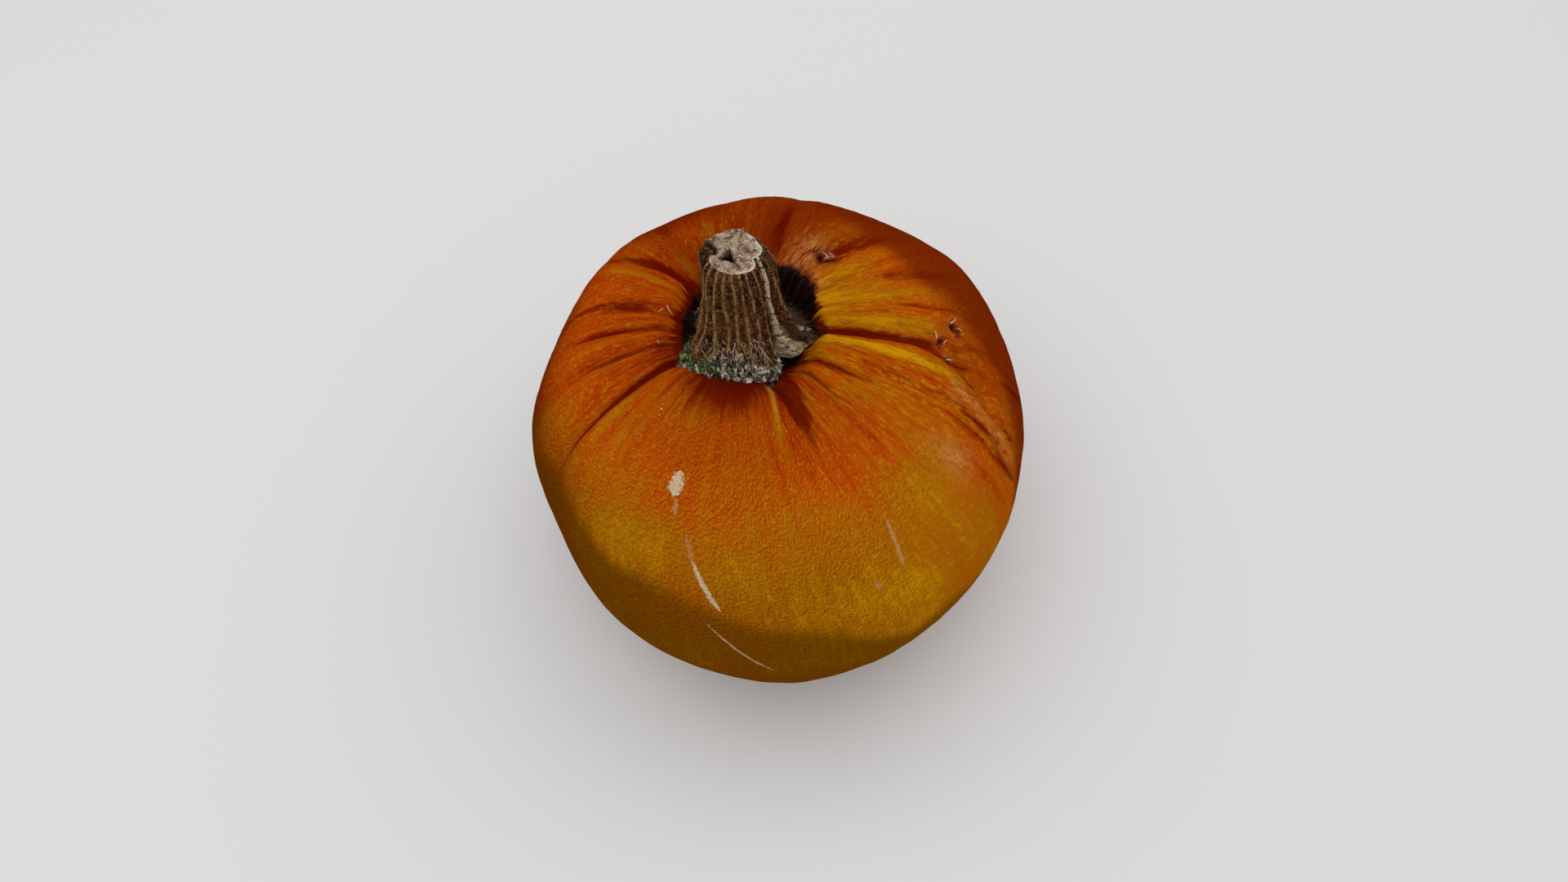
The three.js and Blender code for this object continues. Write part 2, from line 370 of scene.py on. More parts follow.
@dataclass(frozen=True)
class StemForm:
    """The form of the stem, from its foot (share 0) to its cut (share 1)."""

    foot: Triple = (-12.5, 2.0, 134.0)
    top: Triple = (-13.8, 0.0, 191.0)
    cut_radius: float = 8.4
    edge: float = 1.6
    edge_reach: float = 0.06
    cut_share: float = 0.4
    taper: float = 3.0
    flare: float = 8.0
    depth_share: float = 0.94
    ribs: int = 24
    rib_height: float = 0.45
    tilt: tuple[float, float] = (-0.16, 0.1)

    def radius(self, share: np.ndarray, azimuth: np.ndarray) -> np.ndarray:
        """Give the stem's radius without its ribs.

        Args:
            share: shares of the stem's length, from the foot up.
            azimuth: azimuths.

        Returns:
            The radius in millimetres at each place.
        """
        below = 1 - share
        ease = 1 - np.exp(-below / self.edge_reach)
        radius = self.cut_radius + self.taper * below + self.flare * below**5 + self.edge * ease
        for ridge in RIDGES:
            middle = ridge.at_foot + (ridge.at_cut - ridge.at_foot) * share
            swell = ridge.cut_height + (ridge.foot_height - ridge.cut_height) * below**ridge.power
            swell = swell * (self.cut_share + (1 - self.cut_share) * ease)
            radius = radius + swell * np.exp(-((apart(azimuth, middle) / ridge.width) ** 2))
        return radius

    def point(self, share: np.ndarray, azimuth: np.ndarray, radius: np.ndarray) -> np.ndarray:
        """Give points on the leaning stem, whose top end slopes to the cut.

        Args:
            share: shares of the stem's length, from the foot up.
            azimuth: azimuths.
            radius: distances from the stem's axis, in millimetres.

        Returns:
            One point for each place, in millimetres.
        """
        x = radius * np.cos(np.radians(azimuth))
        y = radius * np.sin(np.radians(azimuth)) * (self.depth_share + (1 - self.depth_share) * share)
        slope = (self.tilt[0] * x + self.tilt[1] * y) * step(0.5, 1, share)
        foot, top = np.array(self.foot), np.array(self.top)
        return foot + share[..., None] * (top - foot) + np.stack([x, y, slope], axis=-1)


RIND = RindForm()
STEM = StemForm()


# ---- Node graphs ---------------------------------------------------------------------------


def linear(red: int, green: int, blue: int) -> Colour:
    """Turn a colour into the linear light that a shader takes.

    Args:
        red: from 0 to 255.
        green: from 0 to 255.
        blue: from 0 to 255.

    Returns:
        The colour, with a fourth number for full cover.
    """

    def channel(value: int) -> float:
        """Turn one channel into linear light."""
        share = value / 255
        return share / 12.92 if share <= 0.04045 else ((share + 0.055) / 1.055) ** 2.4

    return channel(red), channel(green), channel(blue), 1.0


class Graph:
    """A material's node tree, with a short method for each kind of node."""

    def __init__(self, name: str) -> None:
        """Start a material with a Principled shader joined to its output.

        Args:
            name: the material's name.
        """
        self.material = bpy.data.materials.new(name)
        self.material.use_nodes = True
        self.tree = self.material.node_tree
        self.tree.nodes.clear()
        output = self.tree.nodes.new("ShaderNodeOutputMaterial")
        self.shader = self.tree.nodes.new("ShaderNodeBsdfPrincipled")
        self.tree.links.new(self.shader.outputs["BSDF"], output.inputs["Surface"])

    def put(self, socket: Socket, value: object) -> None:
        """Link a socket to an output, or set its own value.

        Args:
            socket: an input of a node.
            value: an output of another node, a number or a colour.
        """
        if isinstance(value, Socket):
            self.tree.links.new(value, socket)
        else:
            socket.default_value = value

    def settings(self, **values: float) -> None:
        """Set numbers on the shader's own sockets, named with underscores for spaces."""
        for name, value in values.items():
            self.put(self.shader.inputs[name.replace("_", " ").title().replace("Ior", "IOR")], value)

    def coordinates(self, pattern: Pattern, scale: Triple, shift: Triple = (0, 0, 0)) -> Socket:
        """Give stretched coordinates that stay on the piece.

        Args:
            pattern: what they follow.
            scale: how many pattern units a metre, or a unit of the attribute, holds.
            shift: how far to move them after that, in pattern units.

        Returns:
            The vector output.
        """
        if pattern is Pattern.OBJECT:
            source = self.tree.nodes.new("ShaderNodeTexCoord").outputs["Object"]
        else:
            source = self.attribute(pattern.value, "Vector")
        mapping = self.tree.nodes.new("ShaderNodeMapping")
        self.put(mapping.inputs["Vector"], source)
        mapping.inputs["Scale"].default_value = scale
        mapping.inputs["Location"].default_value = shift
        return mapping.outputs["Vector"]

    def attribute(self, name: str, output: str = "Fac") -> Socket:
        """Give what the mesh holds for each vertex.

        Args:
            name: the attribute's name.
            output: "Fac" for a number, "Vector" for three.

        Returns:
            The output.
        """
        node = self.tree.nodes.new("ShaderNodeAttribute")
        node.attribute_name = name
        return node.outputs[output]

    def math(self, operation: str, *values: object, clamp: bool = False) -> Socket:
        """Work out one step of arithmetic.

        Args:
            operation: its name in a Math node.
            values: what it takes, in order.
            clamp: keep the result from 0 to 1.

        Returns:
            The result's output.
        """
        node = self.tree.nodes.new("ShaderNodeMath")
        node.operation = operation
        node.use_clamp = clamp
        for socket, value in zip(node.inputs, values):
            self.put(socket, value)
        return node.outputs[0]

    def vary(self, base: object, noise: object, gain: float, shift: float, clamp: bool = False) -> Socket:
        """Add a noise to a number, after the noise is stretched by a gain and shifted."""
        return self.math("ADD", base, self.math("MULTIPLY_ADD", noise, gain, shift), clamp=clamp)

    def span(self, value: object, low: object, high: object) -> Socket:
        """Rise smoothly from 0 to 1 between two limits.

        Args:
            value: the number to place between them.
            low: where the result is 0, which may be the larger limit.
            high: where it is 1.

        Returns:
            The result's output.
        """
        node = self.tree.nodes.new("ShaderNodeMapRange")
        node.interpolation_type = "SMOOTHSTEP"
        for name, given in (("Value", value), ("From Min", low), ("From Max", high)):
            self.put(node.inputs[name], given)
        return node.outputs["Result"]

    def mix(self, factor: object, first: object, second: object, mode: str = "MIX") -> Socket:
        """Mix two colours.

        Args:
            factor: the share of the second.
            first: the first colour.
            second: the second colour.
            mode: the way of mixing.

        Returns:
            The colour's output.
        """
        node = self.tree.nodes.new("ShaderNodeMix")
        node.data_type = "RGBA"
        node.blend_type = mode
        for index, given in ((0, factor), (6, first), (7, second)):
            self.put(node.inputs[index], given)
        return node.outputs[2]

    def tint(self, share: object, strength: float, colour: object, other: object) -> Socket:
        """Mix another colour in, by a share that is first weakened to a strength."""
        return self.mix(self.math("MULTIPLY", share, strength), colour, other)

    def noise(self, where: object, scale: float, detail: float = 2.0, twist: float = 0.0) -> Socket:
        """Give cloudy noise.

        Args:
            where: the coordinates.
            scale: how many clouds one unit holds.
            detail: layers of ever finer clouds.
            twist: how much the clouds are stirred.

        Returns:
            The output, from 0 to 1.
        """
        node = self.tree.nodes.new("ShaderNodeTexNoise")
        self.put(node.inputs["Vector"], where)
        for name, given in (("Scale", scale), ("Detail", detail), ("Distortion", twist)):
            node.inputs[name].default_value = given
        return node.outputs["Fac"]

    def cells(self, where: object, scale: float, smoothness: float = 0.4) -> Socket:
        """Give the distance to the nearest of scattered points, with soft borders.

        Args:
            where: the coordinates.
            scale: how many points one unit holds.
            smoothness: how soft the borders are.

        Returns:
            The distance's output.
        """
        node = self.tree.nodes.new("ShaderNodeTexVoronoi")
        node.feature = "SMOOTH_F1"
        self.put(node.inputs["Vector"], where)
        node.inputs["Scale"].default_value = scale
        node.inputs["Smoothness"].default_value = smoothness
        return node.outputs["Distance"]

    def bump(self, height: object, distance: float, strength: float, after: object = None) -> Socket:
        """Turn a height from 0 to 1 into a normal.

        Args:
            height: the height's output.
            distance: how high 1 stands, in millimetres.
            strength: how much of it to use.
            after: a normal to start from.

        Returns:
            The normal's output.
        """
        node = self.tree.nodes.new("ShaderNodeBump")
        node.inputs["Distance"].default_value = distance * METRES
        node.inputs["Strength"].default_value = strength
        self.put(node.inputs["Height"], height)
        if after is not None:
            self.put(node.inputs["Normal"], after)
        return node.outputs["Normal"]

    def finish(self, colour: object, roughness: object, normal: object = None) -> bpy.types.Material:
        """Join the surface to the shader.

        Args:
            colour: the base colour.
            roughness: the roughness.
            normal: the normal of the fine relief, if there is any.

        Returns:
            The finished material.
        """
        self.put(self.shader.inputs["Base Color"], colour)
        self.put(self.shader.inputs["Roughness"], roughness)
        if normal is not None:
            self.put(self.shader.inputs["Normal"], normal)
        return self.material


# ---- Finishes ------------------------------------------------------------------------------


@dataclass(frozen=True)
class Scar:
    """A healed scratch in the skin, on a gently curved line down from start to end."""

    start: float
    end: float
    azimuth: float
    slope: float
    curve: float
    width: float
    strength: float
    pink: float = 0.0
    fray: float = 1.1
    taper: float = 0.35
    blunt: float = 0.25

    def mask(self, graph: Graph, down: object, azimuth: object, ragged: object) -> Socket:
        """Give how much of the scar shows at each place.

        Args:
            graph: the material's nodes.
            down: angle down from the crown.
            azimuth: azimuth.
            ragged: noise from 0 to 1 that frays the border.

        Returns:
            The mask, from 0 to the scar's strength.
        """
        along = graph.math("SUBTRACT", down, self.start)
        line = graph.math("MULTIPLY_ADD", along, self.curve, self.slope)
        line = graph.math("MULTIPLY_ADD", along, line, self.azimuth)
        off = graph.math("ABSOLUTE", graph.math("SUBTRACT", azimuth, line))
        middle = math.radians((self.start + self.end) / 2)
        fray = self.width * self.fray
        frayed = graph.math("MULTIPLY_ADD", ragged, fray, -fray / 2)
        off = graph.math("MULTIPLY_ADD", off, math.radians(1) * RIND.half_width * math.sin(middle), frayed)
        length = self.end - self.start
        ends = graph.span(along, 0.0, length * self.taper)
        ends = graph.math("MULTIPLY", ends, graph.span(along, length, length * (1 - self.blunt)))
        half = graph.math("MULTIPLY", ends, self.width / 2)
        half = graph.math("MAXIMUM", half, 0.01)
        mask = graph.span(off, graph.math("MULTIPLY", half, 1.3), graph.math("MULTIPLY", half, 0.6))
        mask = graph.math("MULTIPLY", mask, graph.span(ends, 0.02, 0.3))
        return graph.math("MULTIPLY", mask, self.strength)


SCARS = (
    Scar(34.2, 41.4, -111.3, -0.05, 0.0, 4.4, 1.0),
    Scar(40.6, 45.0, -110.4, 0.05, 0.0, 1.5, 0.6, 0.7),
    Scar(46.6, 58.5, -106.4, 0.16, 0.012, 2.0, 0.55, 0.8),
    Scar(53.0, 67.2, -105.0, 0.36, 0.007, 2.3, 0.95),
    Scar(69.0, 90.0, -104.2, 0.62, 0.004, 1.5, 0.7, 0.2),
    Scar(50.0, 65.0, -53.3, -0.2, 0.0, 1.5, 0.5, 0.4),
    Scar(63.8, 66.6, -63.5, 0.0, 0.0, 2.0, 0.4, 0.6),
)


@dataclass(frozen=True)
class Band:
    """A soft streak down the skin, from one angle and azimuth to another, of a width in millimetres."""

    tone: Tone
    start: float
    end: float
    first: float
    last: float
    width: float
    strength: float

    def share(self, down: np.ndarray, azimuth: np.ndarray) -> np.ndarray:
        """Give how strongly the streak shows. It fades early and narrows towards its end.

        Args:
            down: angles down from the crown.
            azimuth: azimuths.

        Returns:
            A number from 0 to the streak's strength for each place.
        """
        along = (down - self.start) / (self.end - self.start)
        middle = self.first + (self.last - self.first) * along
        off = apart(azimuth, middle) * math.radians(RIND.half_width) * np.sin(np.radians(down))
        ends = step(0, 0.15, along) * (1 - step(0.4, 1, along))
        width = self.width * (1 - 0.45 * np.clip(along, 0, 1))
        return self.strength * ends * np.exp(-((off / width) ** 2))


SCUFFED_RIDGE = Band(Tone.SCUFF, 46, 86, -8.6, -18, 3.5, 1.3)

# SHADE bands paint shade along the grooves; GLOW bands are partly the skin's own yellow, partly painted
# highlight on the crests.
BANDS = (
    # The left lobes, from back to front.
    Band(Tone.GLOW, 28, 42, -254, -252, 4.5, 0.5),
    Band(Tone.SHADE, 38, 62, -238, -240, 4.5, 0.35),
    Band(Tone.GLOW, 17, 46, -238, -234, 5.0, 0.5),
    Band(Tone.SHADE, 12, 44, -229, -222, 3.0, 0.8),
    Band(Tone.SHADE, 20, 76, -225, -218, 2.2, 0.75),
    Band(Tone.GLOW, 14, 56, -214.5, -214, 3.0, 0.75),
    Band(Tone.SHADE, 16, 78, -199, -194, 1.5, 0.75),
    Band(Tone.GLOW, 16, 46, -190, -190, 2.6, 0.45),
    Band(Tone.SHADE, 11, 60, -181, -184, 2.2, 0.6),
    Band(Tone.GLOW, 16, 50, -175, -177, 2.2, 0.5),
    Band(Tone.SHADE, 11, 50, -166, -170, 2.4, 0.6),
    Band(Tone.SHADE, 12, 36, -157, -159, 4.5, 0.35),
    Band(Tone.SHADE, 11, 42, -150, -150.5, 1.9, 0.8),
    Band(Tone.SHADE, 26, 76, -150, -151, 1.0, 0.8),
    Band(Tone.GLOW, 14, 50, -145, -145, 2.4, 0.8),
    # The front.
    Band(Tone.GLOW, 11, 33, -63.5, -75, 1.2, 1.2),
    Band(Tone.SCUFF, 10, 24, -63, -70, 1.1, 1.5),
    Band(Tone.FLUSH, 12, 46, -62, -67, 3.2, 1.0),
    Band(Tone.SHADE, 10, 38, -53, -61, 3.3, 0.95),
    Band(Tone.SHADE, 10, 34, -57, -63, 5.0, 0.4),
    Band(Tone.SHADE, 14, 42, -37.5, -41, 1.5, 0.6),
    Band(Tone.SHADE, 11, 42, -27.5, -21, 2.4, 0.85),
    Band(Tone.GLOW, 13, 32, -20, -19, 1.8, 0.7),
    # The right lobes.
    Band(Tone.SHADE, 20, 60, -15.5, -13, 1.4, 0.5),
    Band(Tone.FLUSH, 18, 54, -12, -9.5, 1.6, 0.6),
    Band(Tone.GLOW, 12, 62, -7, -5.5, 3.4, 1.35),
    Band(Tone.SHADE, 10, 62, 0.5, 4, 2.2, 0.95),
    Band(Tone.SHADE, 38, 62, 3, -7, 2.2, 0.5),
    Band(Tone.SHADE, 50, 92, -3, -20, 1.8, 0.6),
    Band(Tone.GLOW, 14, 56, 8, 8, 5.0, 0.75),
    Band(Tone.SHADE, 32, 64, 14.5, 12, 1.3, 0.5),
    Band(Tone.GLOW, 14, 50, 21, 19, 5.0, 0.9),
    Band(Tone.SHADE, 32, 60, 27.5, 23, 2.6, 0.5),
    Band(Tone.GLOW, 15, 52, 34, 31, 4.0, 0.6),
    Band(Tone.SHADE, 24, 56, 50, 42, 5.5, 0.5),
    Band(Tone.GLOW, 27, 40, 56, 54, 3.0, 0.6),
    Band(Tone.SHADE, 20, 58, 72, 78, 3.0, 0.45),
    Band(Tone.SHADE, 46, 84, -13, -20, 1.4, 0.4),
    Band(Tone.FLUSH, 46, 86, -5.5, -14, 1.6, 0.7),
    Band(Tone.FLUSH, 54, 88, -25, -26, 1.8, 0.8),
    Band(Tone.FLUSH, 52, 84, -18, -22, 2.0, 0.6),
    SCUFFED_RIDGE,
)


# Azimuths, each with the angle down to the border of the pit's painted shade round the stem.
PIT_EDGE = (
    (-270, 16.0), (-228, 14.6), (-208, 13.8), (-185, 13.0), (-140, 12.6), (-113, 12.0), (-94, 11.6),
    (-70, 12.6), (-36, 12.0), (-21, 13.6), (-13, 15.0), (5, 16.0), (14, 16.8), (32, 18.8),
    (45, 20.6), (52, 21.2), (60, 19.5), (70, 17.0), (90, 16.0),
)


@dataclass(frozen=True)
class Nick:
    """A small torn hole in the skin, of a size in degrees and a depth in millimetres."""

    down: float
    azimuth: float
    size: float
    depth: float

    def away(self, down: np.ndarray, azimuth: np.ndarray) -> np.ndarray:
        """Give how many of its own sizes away from the nick each place is."""
        across = apart(azimuth, self.azimuth) * math.sin(math.radians(self.down))
        return np.hypot(down - self.down, across) / self.size


NICKS = (
    Nick(48.6, 9.0, 1.2, 1.4),
    Nick(45.8, 4.3, 0.8, 0.7),
    Nick(50.0, 7.6, 0.9, 0.9),
    Nick(48.6, -0.6, 0.9, 0.9),
    Nick(27.8, 50.5, 1.7, 1.6),
    Nick(29.2, 46.5, 1.2, 1.2),
    Nick(19.6, 35.5, 0.8, 0.7),
    Nick(18.6, 33.5, 0.7, 0.6),
    Nick(67.4, -14.2, 1.0, 1.0),
)


class RindPatterns:
    """The noises that several steps of the rind's colour and relief share."""

    def __init__(self, graph: Graph) -> None:
        """Add the noises to a material.

        Args:
            graph: the material's nodes.
        """
        lens_scale = (1.1, 1.1, 1.0)
        downhill = (0.0035, 0, 0.0035)
        self.place = graph.coordinates(Pattern.OBJECT, (1, 1, 1))
        self.skin = graph.coordinates(Pattern.MERIDIAN, (1, 1, 1.1))
        self.lens = graph.coordinates(Pattern.MERIDIAN, lens_scale)
        streak = graph.coordinates(Pattern.MERIDIAN, (1, 1, 0.1))
        self.pleated = graph.attribute("pleated")
        self.cloud = graph.noise(self.place, 55, 3, 0.4)
        self.ragged = graph.noise(self.place, 900, 3)
        self.lines = graph.noise(streak, 16, 3, 0.3)
        self.fine_lines = graph.noise(streak, 55, 4, 0.5)
        self.grain = graph.noise(self.skin, 300, 3, 0.4)
        striped = graph.attribute("striped")
        stripes = graph.noise(graph.coordinates(Pattern.MERIDIAN, (0.3, 0.3, 1.1)), 80, 2, 0.3)
        self.wrinkle = graph.mix(striped, graph.noise(self.lens, 78, 1, 0.4), stripes)
        weave = graph.noise(graph.coordinates(Pattern.MERIDIAN, (1, 1, 0.42)), 56, 3, 0.7)
        self.height = graph.mix(self.pleated, self.wrinkle, weave)
        # The wrinkles against a shifted copy give an embossed look for the colour: painted light on one
        # side of each, painted shade on the other.
        lower = graph.noise(graph.coordinates(Pattern.MERIDIAN, lens_scale, downhill), 78, 1, 0.4)
        tilt = graph.math("MULTIPLY_ADD", graph.math("SUBTRACT", lower, self.wrinkle), 1.4, 0.5)
        self.relief = graph.mix(self.pleated, graph.mix(striped, tilt, self.wrinkle), weave)


@dataclass(frozen=True)
class RindFinish:
    """Waxy orange rind: mottled cells, streaks down the ribs and healed scars, with painted shade in the
    grooves, the pit and over the far sides, and painted highlights on the crests and wrinkles.
    """

    orange: Colour = linear(182, 74, 7)
    # Yellow of the skin, and of the painted highlights on the crests.
    ochre_and_highlight: Colour = linear(172, 106, 8)
    # Gold is the streaks' own colour, and also lightens the painted highlights on the wrinkles.
    gold: Colour = linear(212, 148, 6)
    flush: Colour = linear(166, 46, 3)
    # Brown-red of the painted shade on the far right and behind.
    red_brown_shade: Colour = linear(110, 28, 3)
    # Dark red of the painted shade in grooves, creases, the pit's border and the nicks.
    shade_crimson: Colour = linear(100, 11, 1)
    # Umber is the painted shade of the pit and the nick holes, and the blossom scar's own dark colour.
    umber: Colour = linear(24, 9, 6)
    fuzz: Colour = linear(46, 29, 21)
    # Olive brown of the painted shade low on the front and the left.
    olive: Colour = linear(88, 50, 0)
    fawn: Colour = linear(196, 128, 70)
    corky: Colour = linear(206, 188, 156)
    straw: Colour = linear(196, 152, 84)
    # Multiplier of the painted shade in the wrinkles' hollows.
    wrinkle_shade: Colour = (0.46, 0.32, 0.32, 1.0)
    # Multiplier of the painted shade over the far sides.
    far_side_shade: Colour = (0.5, 0.36, 0.4, 1.0)

    def build(self) -> bpy.types.Material:
        """Make the material.

        Returns:
            The finished material.
        """
        graph = Graph("waxy_rind")
        shared = RindPatterns(graph)
        colour = self.shaded(graph, shared, self.crinkled(graph, shared, self.mottled(graph, shared)))
        colour, raised = self.healed(graph, shared, colour)
        normal = graph.bump(shared.height, 1.0, 0.8)
        normal = graph.bump(shared.grain, 0.15, 0.8, normal)
        normal = graph.bump(raised, 0.3, 0.8, normal)
        roughness = graph.math("MULTIPLY_ADD", shared.wrinkle, 0.2, 0.4)
        roughness = graph.math("MULTIPLY_ADD", raised, 0.3, roughness)
        graph.settings(specular_ior_level=0.0)
        return graph.finish(colour, roughness, normal)

    def mottled(self, graph: Graph, shared: RindPatterns) -> Socket:
        """Mix yellow clouds, gold streaks, red veins and small pale specks into the orange; the yellow and
        gold are partly painted highlight on the ribs' crests.

        Args:
            graph: the material's nodes.
            shared: the patterns that the steps share.

        Returns:
            The colour's output.
        """
        ochre_and_highlight = graph.vary(graph.attribute("ochre_and_highlight"), shared.cloud, 0.45, -0.22)
        ochre_and_highlight = graph.vary(ochre_and_highlight, shared.lines, 0.6, -0.3)
        blotch = graph.noise(shared.lens, 24, 2, 0.8)
        ochre_and_highlight = graph.math("ADD", ochre_and_highlight, graph.math("MULTIPLY", graph.span(blotch, 0.52, 0.72), 0.3))
        colour = graph.mix(graph.span(ochre_and_highlight, 0.0, 1.0), self.orange, self.ochre_and_highlight)
        rich = graph.vary(ochre_and_highlight, shared.fine_lines, 1.0, -0.5)
        colour = graph.tint(graph.span(rich, 0.75, 1.5), 0.85, colour, self.gold)
        flush = graph.vary(graph.attribute("flush"), shared.lines, -0.8, 0.37)
        vein = graph.math("ADD", shared.fine_lines, -0.5)
        vein = graph.math("MULTIPLY", vein, graph.math("MULTIPLY_ADD", shared.pleated, 2.4, 0.5))
        colour = graph.tint(graph.math("ADD", flush, vein, clamp=True), 0.85, colour, self.flush)
        patch = graph.noise(shared.place, 160, 2, 0.6)
        speck = graph.span(graph.cells(shared.skin, 27, 0.2), 0.36, 0.14)
        speck = graph.math("MULTIPLY", speck, graph.span(patch, 0.4, 0.6))
        return graph.tint(speck, 0.55, colour, graph.mix(0.4, self.ochre_and_highlight, self.gold))

    def crinkled(self, graph: Graph, shared: RindPatterns, colour: Socket) -> Socket:
        """Darken the hollows of the fine wrinkles with painted shade and lighten their ridges with painted
        highlights.

        Args:
            graph: the material's nodes.
            shared: the patterns that the steps share.
            colour: the colour so far.

        Returns:
            The colour's output.
        """
        # Painted shade in the hollows of the wrinkles.
        shadow = graph.mix(1.0, colour, self.wrinkle_shade, "MULTIPLY")
        colour = graph.tint(graph.span(shared.relief, 0.47, 0.3), 0.42, colour, shadow)
        # Painted highlights on the ridges of the wrinkles.
        light = graph.mix(1.0, colour, graph.mix(0.6, colour, self.gold), "LIGHTEN")
        glint = graph.math("MULTIPLY_ADD", shared.pleated, 0.25, 0.5)
        glint = graph.math("MULTIPLY", graph.span(shared.relief, 0.53, 0.68), glint)
        colour = graph.mix(glint, colour, light)
        # Painted shade in the hollows of the fine grain.
        return graph.tint(graph.span(shared.grain, 0.47, 0.34), 0.25, colour, shadow)

    def shaded(self, graph: Graph, shared: RindPatterns, colour: Socket) -> Socket:
        """Paint shade over the far sides, the grooves, the pit and the olive part under the belly.

        Args:
            graph: the material's nodes.
            shared: the patterns that the steps share.
            colour: the colour so far.

        Returns:
            The colour's output.
        """
        # Painted shade over the far sides.
        colour = graph.mix(graph.attribute("far_side_shade"), colour, graph.mix(1.0, colour, self.far_side_shade, "MULTIPLY"))
        # Brown-red painted shade on the far right and behind.
        red_brown_shade = graph.vary(graph.attribute("red_brown_shade"), shared.height, 1.2, -0.6)
        colour = graph.tint(graph.span(red_brown_shade, 0.1, 0.95), 0.8, colour, self.red_brown_shade)
        # Painted shade, in dark red, in grooves, creases, the pit's border, under the stem's foot and in
        # the nicks.
        crease_shade = graph.vary(graph.attribute("crease_shade"), shared.fine_lines, 0.4, -0.2)
        crease_shade = graph.vary(crease_shade, shared.height, -0.6, 0.3)
        colour = graph.tint(graph.span(crease_shade, 0.08, 0.85), 0.92, colour, self.shade_crimson)
        # Painted shade in the pit and the nick holes, umber streaked with the fuzz's brown.
        pit = graph.vary(graph.attribute("pit"), shared.fine_lines, 0.4, -0.2)
        pit_shade_tone = graph.mix(graph.span(shared.fine_lines, 0.46, 0.66), self.umber, self.fuzz)
        colour = graph.mix(graph.span(pit, 0.3, 0.9), colour, pit_shade_tone)
        # Olive painted shade low on the front and the left.
        lower_shade = graph.vary(graph.attribute("lower_shade"), shared.cloud, 0.25, -0.12, clamp=True)
        return graph.tint(lower_shade, 0.88, colour, graph.mix(0.28, self.olive, colour))

    def healed(self, graph: Graph, shared: RindPatterns, colour: Socket) -> tuple[Socket, Socket]:
        """Lay the scuffs and a painted highlight, the scars, the pale patch it rests on and the blossom
        scar over the skin.

        Args:
            graph: the material's nodes.
            shared: the patterns that the steps share.
            colour: the colour so far.

        Returns:
            The colour's output, and the height of the scars.
        """
        # Rubbed skin, with a painted highlight: the pale hazy patch low on the right front.
        scuff_and_highlight = graph.math("MULTIPLY", graph.attribute("scuff_and_highlight"), graph.span(shared.height, 0.38, 0.6))
        colour = graph.tint(scuff_and_highlight, 0.7, colour, self.fawn)
        down, azimuth = graph.attribute("down"), graph.attribute("azimuth")
        raised = 0.0
        for scar in SCARS:
            mask = scar.mask(graph, down, azimuth, shared.ragged)
            tissue = graph.mix(scar.pink, self.corky, graph.mix(0.5, self.fawn, self.flush))
            worn = graph.math("MULTIPLY_ADD", shared.ragged, 0.9, -0.2, clamp=True)
            tissue = graph.mix(worn, tissue, self.fawn)
            colour = graph.mix(mask, colour, tissue)
            raised = graph.math("MAXIMUM", raised, mask)
        belly = graph.vary(graph.attribute("belly"), shared.cloud, 0.5, -0.25)
        colour = graph.tint(graph.span(belly, 0.3, 1.1), 0.75, colour, self.straw)
        button = graph.mix(shared.ragged, self.umber, self.fawn)
        colour = graph.mix(graph.attribute("navel"), colour, button)
        return colour, raised


class StemPatterns:
    """The noises that several steps of the stem's colour and relief share."""

    def __init__(self, graph: Graph) -> None:
        """Add the noises to a material.

        Args:
            graph: the material's nodes.
        """
        place = graph.coordinates(Pattern.OBJECT, (1, 1, 1))
        self.mottle = graph.noise(place, 420, 4, 0.5)
        self.fibre = graph.noise(graph.coordinates(Pattern.OBJECT, (1, 1, 0.16)), 1300, 4, 0.3)
        self.scales = graph.noise(graph.coordinates(Pattern.OBJECT, (0.6, 0.6, 1)), 1100, 3, 1.5)
        self.speck = graph.noise(place, 1100, 3, 0.8)


